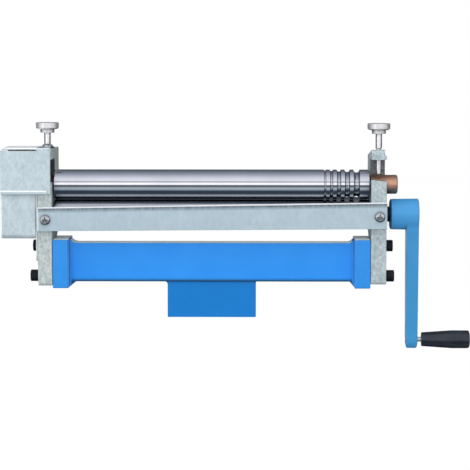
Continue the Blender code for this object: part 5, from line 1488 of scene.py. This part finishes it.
stageSizes = {"floorDrop": 0.16, "floorHalf": 30.0, "tentRadius": 6.0, "tentHalfLength": 8.0}
tentBands = (
    # elevation seen in a mirror, from the operator's side over the top, and the colour there
    (-180, (0.06, 0.07, 0.09)), (-125, (0.02, 0.03, 0.045)), (-108, (0.05, 0.07, 0.09)),
    (-98, (0.25, 0.29, 0.33)),
    (-88, (0.24, 0.28, 0.32)), (-78, (0.05, 0.07, 0.10)), (-54, (0.04, 0.06, 0.09)),
    (-47, (0.16, 0.21, 0.28)),
    (-38, (0.46, 0.54, 0.62)), (-28, (0.58, 0.66, 0.72)), (-20, (0.33, 0.37, 0.41)),
    (-13, (0.10, 0.12, 0.14)),
    (-5, (0.12, 0.13, 0.14)), (-1, (1.45, 1.45, 1.50)), (14, (1.45, 1.45, 1.50)), (18, (0.45, 0.46, 0.50)),
    (24, (0.62, 0.63, 0.68)), (29, (1.12, 1.13, 1.20)), (45, (1.00, 1.01, 1.10)), (60, (0.80, 0.82, 0.93)),
    (85, (0.44, 0.48, 0.56)), (110, (0.26, 0.29, 0.34)), (140, (0.12, 0.13, 0.16)),
    (180, (0.10, 0.12, 0.14)),
)


def rayShares(tree):
    # one for camera, mirror and see-through rays, nothing for the light that falls on the object
    rays = addNode(tree, "ShaderNodeLightPath")
    mirrored = mathStep(tree, "MAXIMUM", rays.outputs["Is Glossy Ray"], rays.outputs["Is Transmission Ray"])
    return mathStep(tree, "MAXIMUM", rays.outputs["Is Camera Ray"], mirrored)


def makeWorld():
    world = bpy.data.worlds.new("studioWorld")
    bpy.context.scene.world = world
    world.use_nodes = True
    tree = world.node_tree
    tree.nodes.clear()
    level = remapped(tree, rayShares(tree), 0, 1, 0.48, 1.0)
    background = addNode(tree, "ShaderNodeBackground", {"Color": (1, 1, 1, 1)}, {"Strength": level})
    addNode(tree, "ShaderNodeOutputWorld", links={"Surface": background.outputs[0]})


def makeFloor():
    height = cadBox[0][2] - stageSizes["floorDrop"]
    half = stageSizes["floorHalf"]
    shape = bmesh.new()
    shape.faces.new([shape.verts.new((x, y, height)) for x,
        y in ((-half, -half), (half, -half), (half, half), (-half, half))])
    floor = looseObject("studioFloor", shape)
    made, tree, shader = shaderTree("floorPaint", (0.82, 0.82, 0.82), 0.9, 0)
    rays = addNode(tree, "ShaderNodeLightPath")
    share = remapped(tree, rays.outputs["Is Camera Ray"], 0, 1, 0, 0.85)
    glow = addNode(tree, "ShaderNodeEmission", {"Color": (1, 1, 1, 1), "Strength": 1.1})
    mixed = addNode(tree, "ShaderNodeMixShader", links={"Fac": share})
    tree.links.new(shader.outputs[0], mixed.inputs[1])
    tree.links.new(glow.outputs[0], mixed.inputs[2])
    tree.links.new(mixed.outputs[0], tree.nodes["Material Output"].inputs["Surface"])
    floor.data.materials.append(made)
    floor.visible_glossy = False


def makeTent():
    tent = looseObject("lightTent", turned([
        (-stageSizes["tentHalfLength"], 0), (-stageSizes["tentHalfLength"], stageSizes["tentRadius"]),
        (stageSizes["tentHalfLength"], stageSizes["tentRadius"]), (stageSizes["tentHalfLength"], 0),
    ], 96, "X", (0, 0, 0.12)))
    made, tree, shader = shaderTree("tentCloth", (0.8, 0.8, 0.8), 0.9, 0)
    place = addNode(tree, "ShaderNodeTexCoord").outputs["Object"]
    parts = addNode(tree, "ShaderNodeSeparateXYZ", links={"Vector": place})
    toCamera = mathStep(tree, "MULTIPLY", parts.outputs["Y"], -1.0)
    up = mathStep(tree, "SUBTRACT", parts.outputs["Z"], 0.12)
    turn = mathStep(tree, "ARCTAN2", up, toCamera)
    share = remapped(tree, turn, -math.pi, math.pi, 0, 1)
    ramp = addNode(tree, "ShaderNodeValToRGB", links={"Fac": share})
    bands = ramp.color_ramp
    bands.elements.remove(bands.elements[1])
    bands.elements[0].position = 0
    bands.elements[0].color = (*tentBands[0][1], 1)
    for elevation, colour in tentBands[1:]:
        bands.elements.new((elevation + 180) / 360).color = (*colour, 1)
    glow = addNode(tree, "ShaderNodeEmission", {"Strength": 1.0}, {"Color": ramp.outputs["Color"]})
    tree.links.new(glow.outputs[0], tree.nodes["Material Output"].inputs["Surface"])
    tent.data.materials.append(made)
    tent.visible_camera = False
    tent.visible_diffuse = False
    tent.visible_shadow = False
    tent.visible_transmission = False
    tent.visible_volume_scatter = False


# Light cards inside the tent that only gloss sees: one behind, for faces seen edge on, and two at the sides
cards = (
    # name, centre, width, height, strength
    ("backCard", (0.0, 5.0, -0.45), 2.6, 0.9, 1.1),
    ("leftCard", (-2.75, -2.9, -0.3), 1.5, 2.0, 1.5),
    ("rightCard", (1.85, -3.6, -0.3), 0.35, 2.0, 1.5),
)


def makeCards():
    for name, centre, width, height, strength in cards:
        across = Vector((centre[1], -centre[0], 0)).normalized() * width / 2
        shape = bmesh.new()
        shape.faces.new([
            shape.verts.new(Vector(centre) + across * a + Vector((0, 0, height / 2 * b)))
            for a, b in ((-1, -1), (1, -1), (1, 1), (-1, 1))
        ])
        card = looseObject(name, shape)
        made, tree, shader = shaderTree(name + "Cloth", (0.8, 0.8, 0.8), 0.9, 0)
        glow = addNode(tree, "ShaderNodeEmission", {"Color": (1, 1, 1, 1), "Strength": strength})
        tree.links.new(glow.outputs[0], tree.nodes["Material Output"].inputs["Surface"])
        card.data.materials.append(made)
        card.visible_camera = False
        card.visible_diffuse = False
        card.visible_shadow = False
        card.visible_transmission = False
        card.visible_volume_scatter = False


lamps = (
    # name, place, what it points at, size, power
    ("topLamp", (-0.3, -0.9, 1.8), (0, 0, 0.1), 1.4, 17.0),
    ("frontLamp", (0.2, -2.6, 0.9), (0, 0, 0.1), 1.8, 20.0),
    ("sideLamp", (-2.0, -0.6, 0.6), (0, 0, 0.1), 1.0, 7.0),
)


def makeLamps():
    for name, place, target, size, power in lamps:
        lamp = bpy.data.lights.new(name, "AREA")
        lamp.shape = "SQUARE"
        lamp.size = size
        lamp.energy = power
        holder = bpy.data.objects.new(name, lamp)
        holder.location = place
        holder.rotation_euler = (Vector(target) - Vector(place)).to_track_quat("-Z", "Y").to_euler()
        holder.visible_glossy = False
        bpy.context.scene.collection.objects.link(holder)


def makeCamera():
    lens = bpy.data.cameras.new("photoCamera")
    lens.sensor_width = 36
    lens.lens = 141.0
    lens.clip_end = 200
    holder = bpy.data.objects.new("photoCamera", lens)
    holder.location = (0.050, -1.872, 0.24944)
    holder.rotation_euler = (math.radians(90 - 5.0705), 0, math.radians(0.8083))
    bpy.context.scene.collection.objects.link(holder)
    bpy.context.scene.camera = holder


makeWorld()
makeFloor()
makeTent()
makeCards()
makeLamps()
makeCamera()
bpy.context.scene.view_settings.view_transform = "Standard"
print("stage ready")
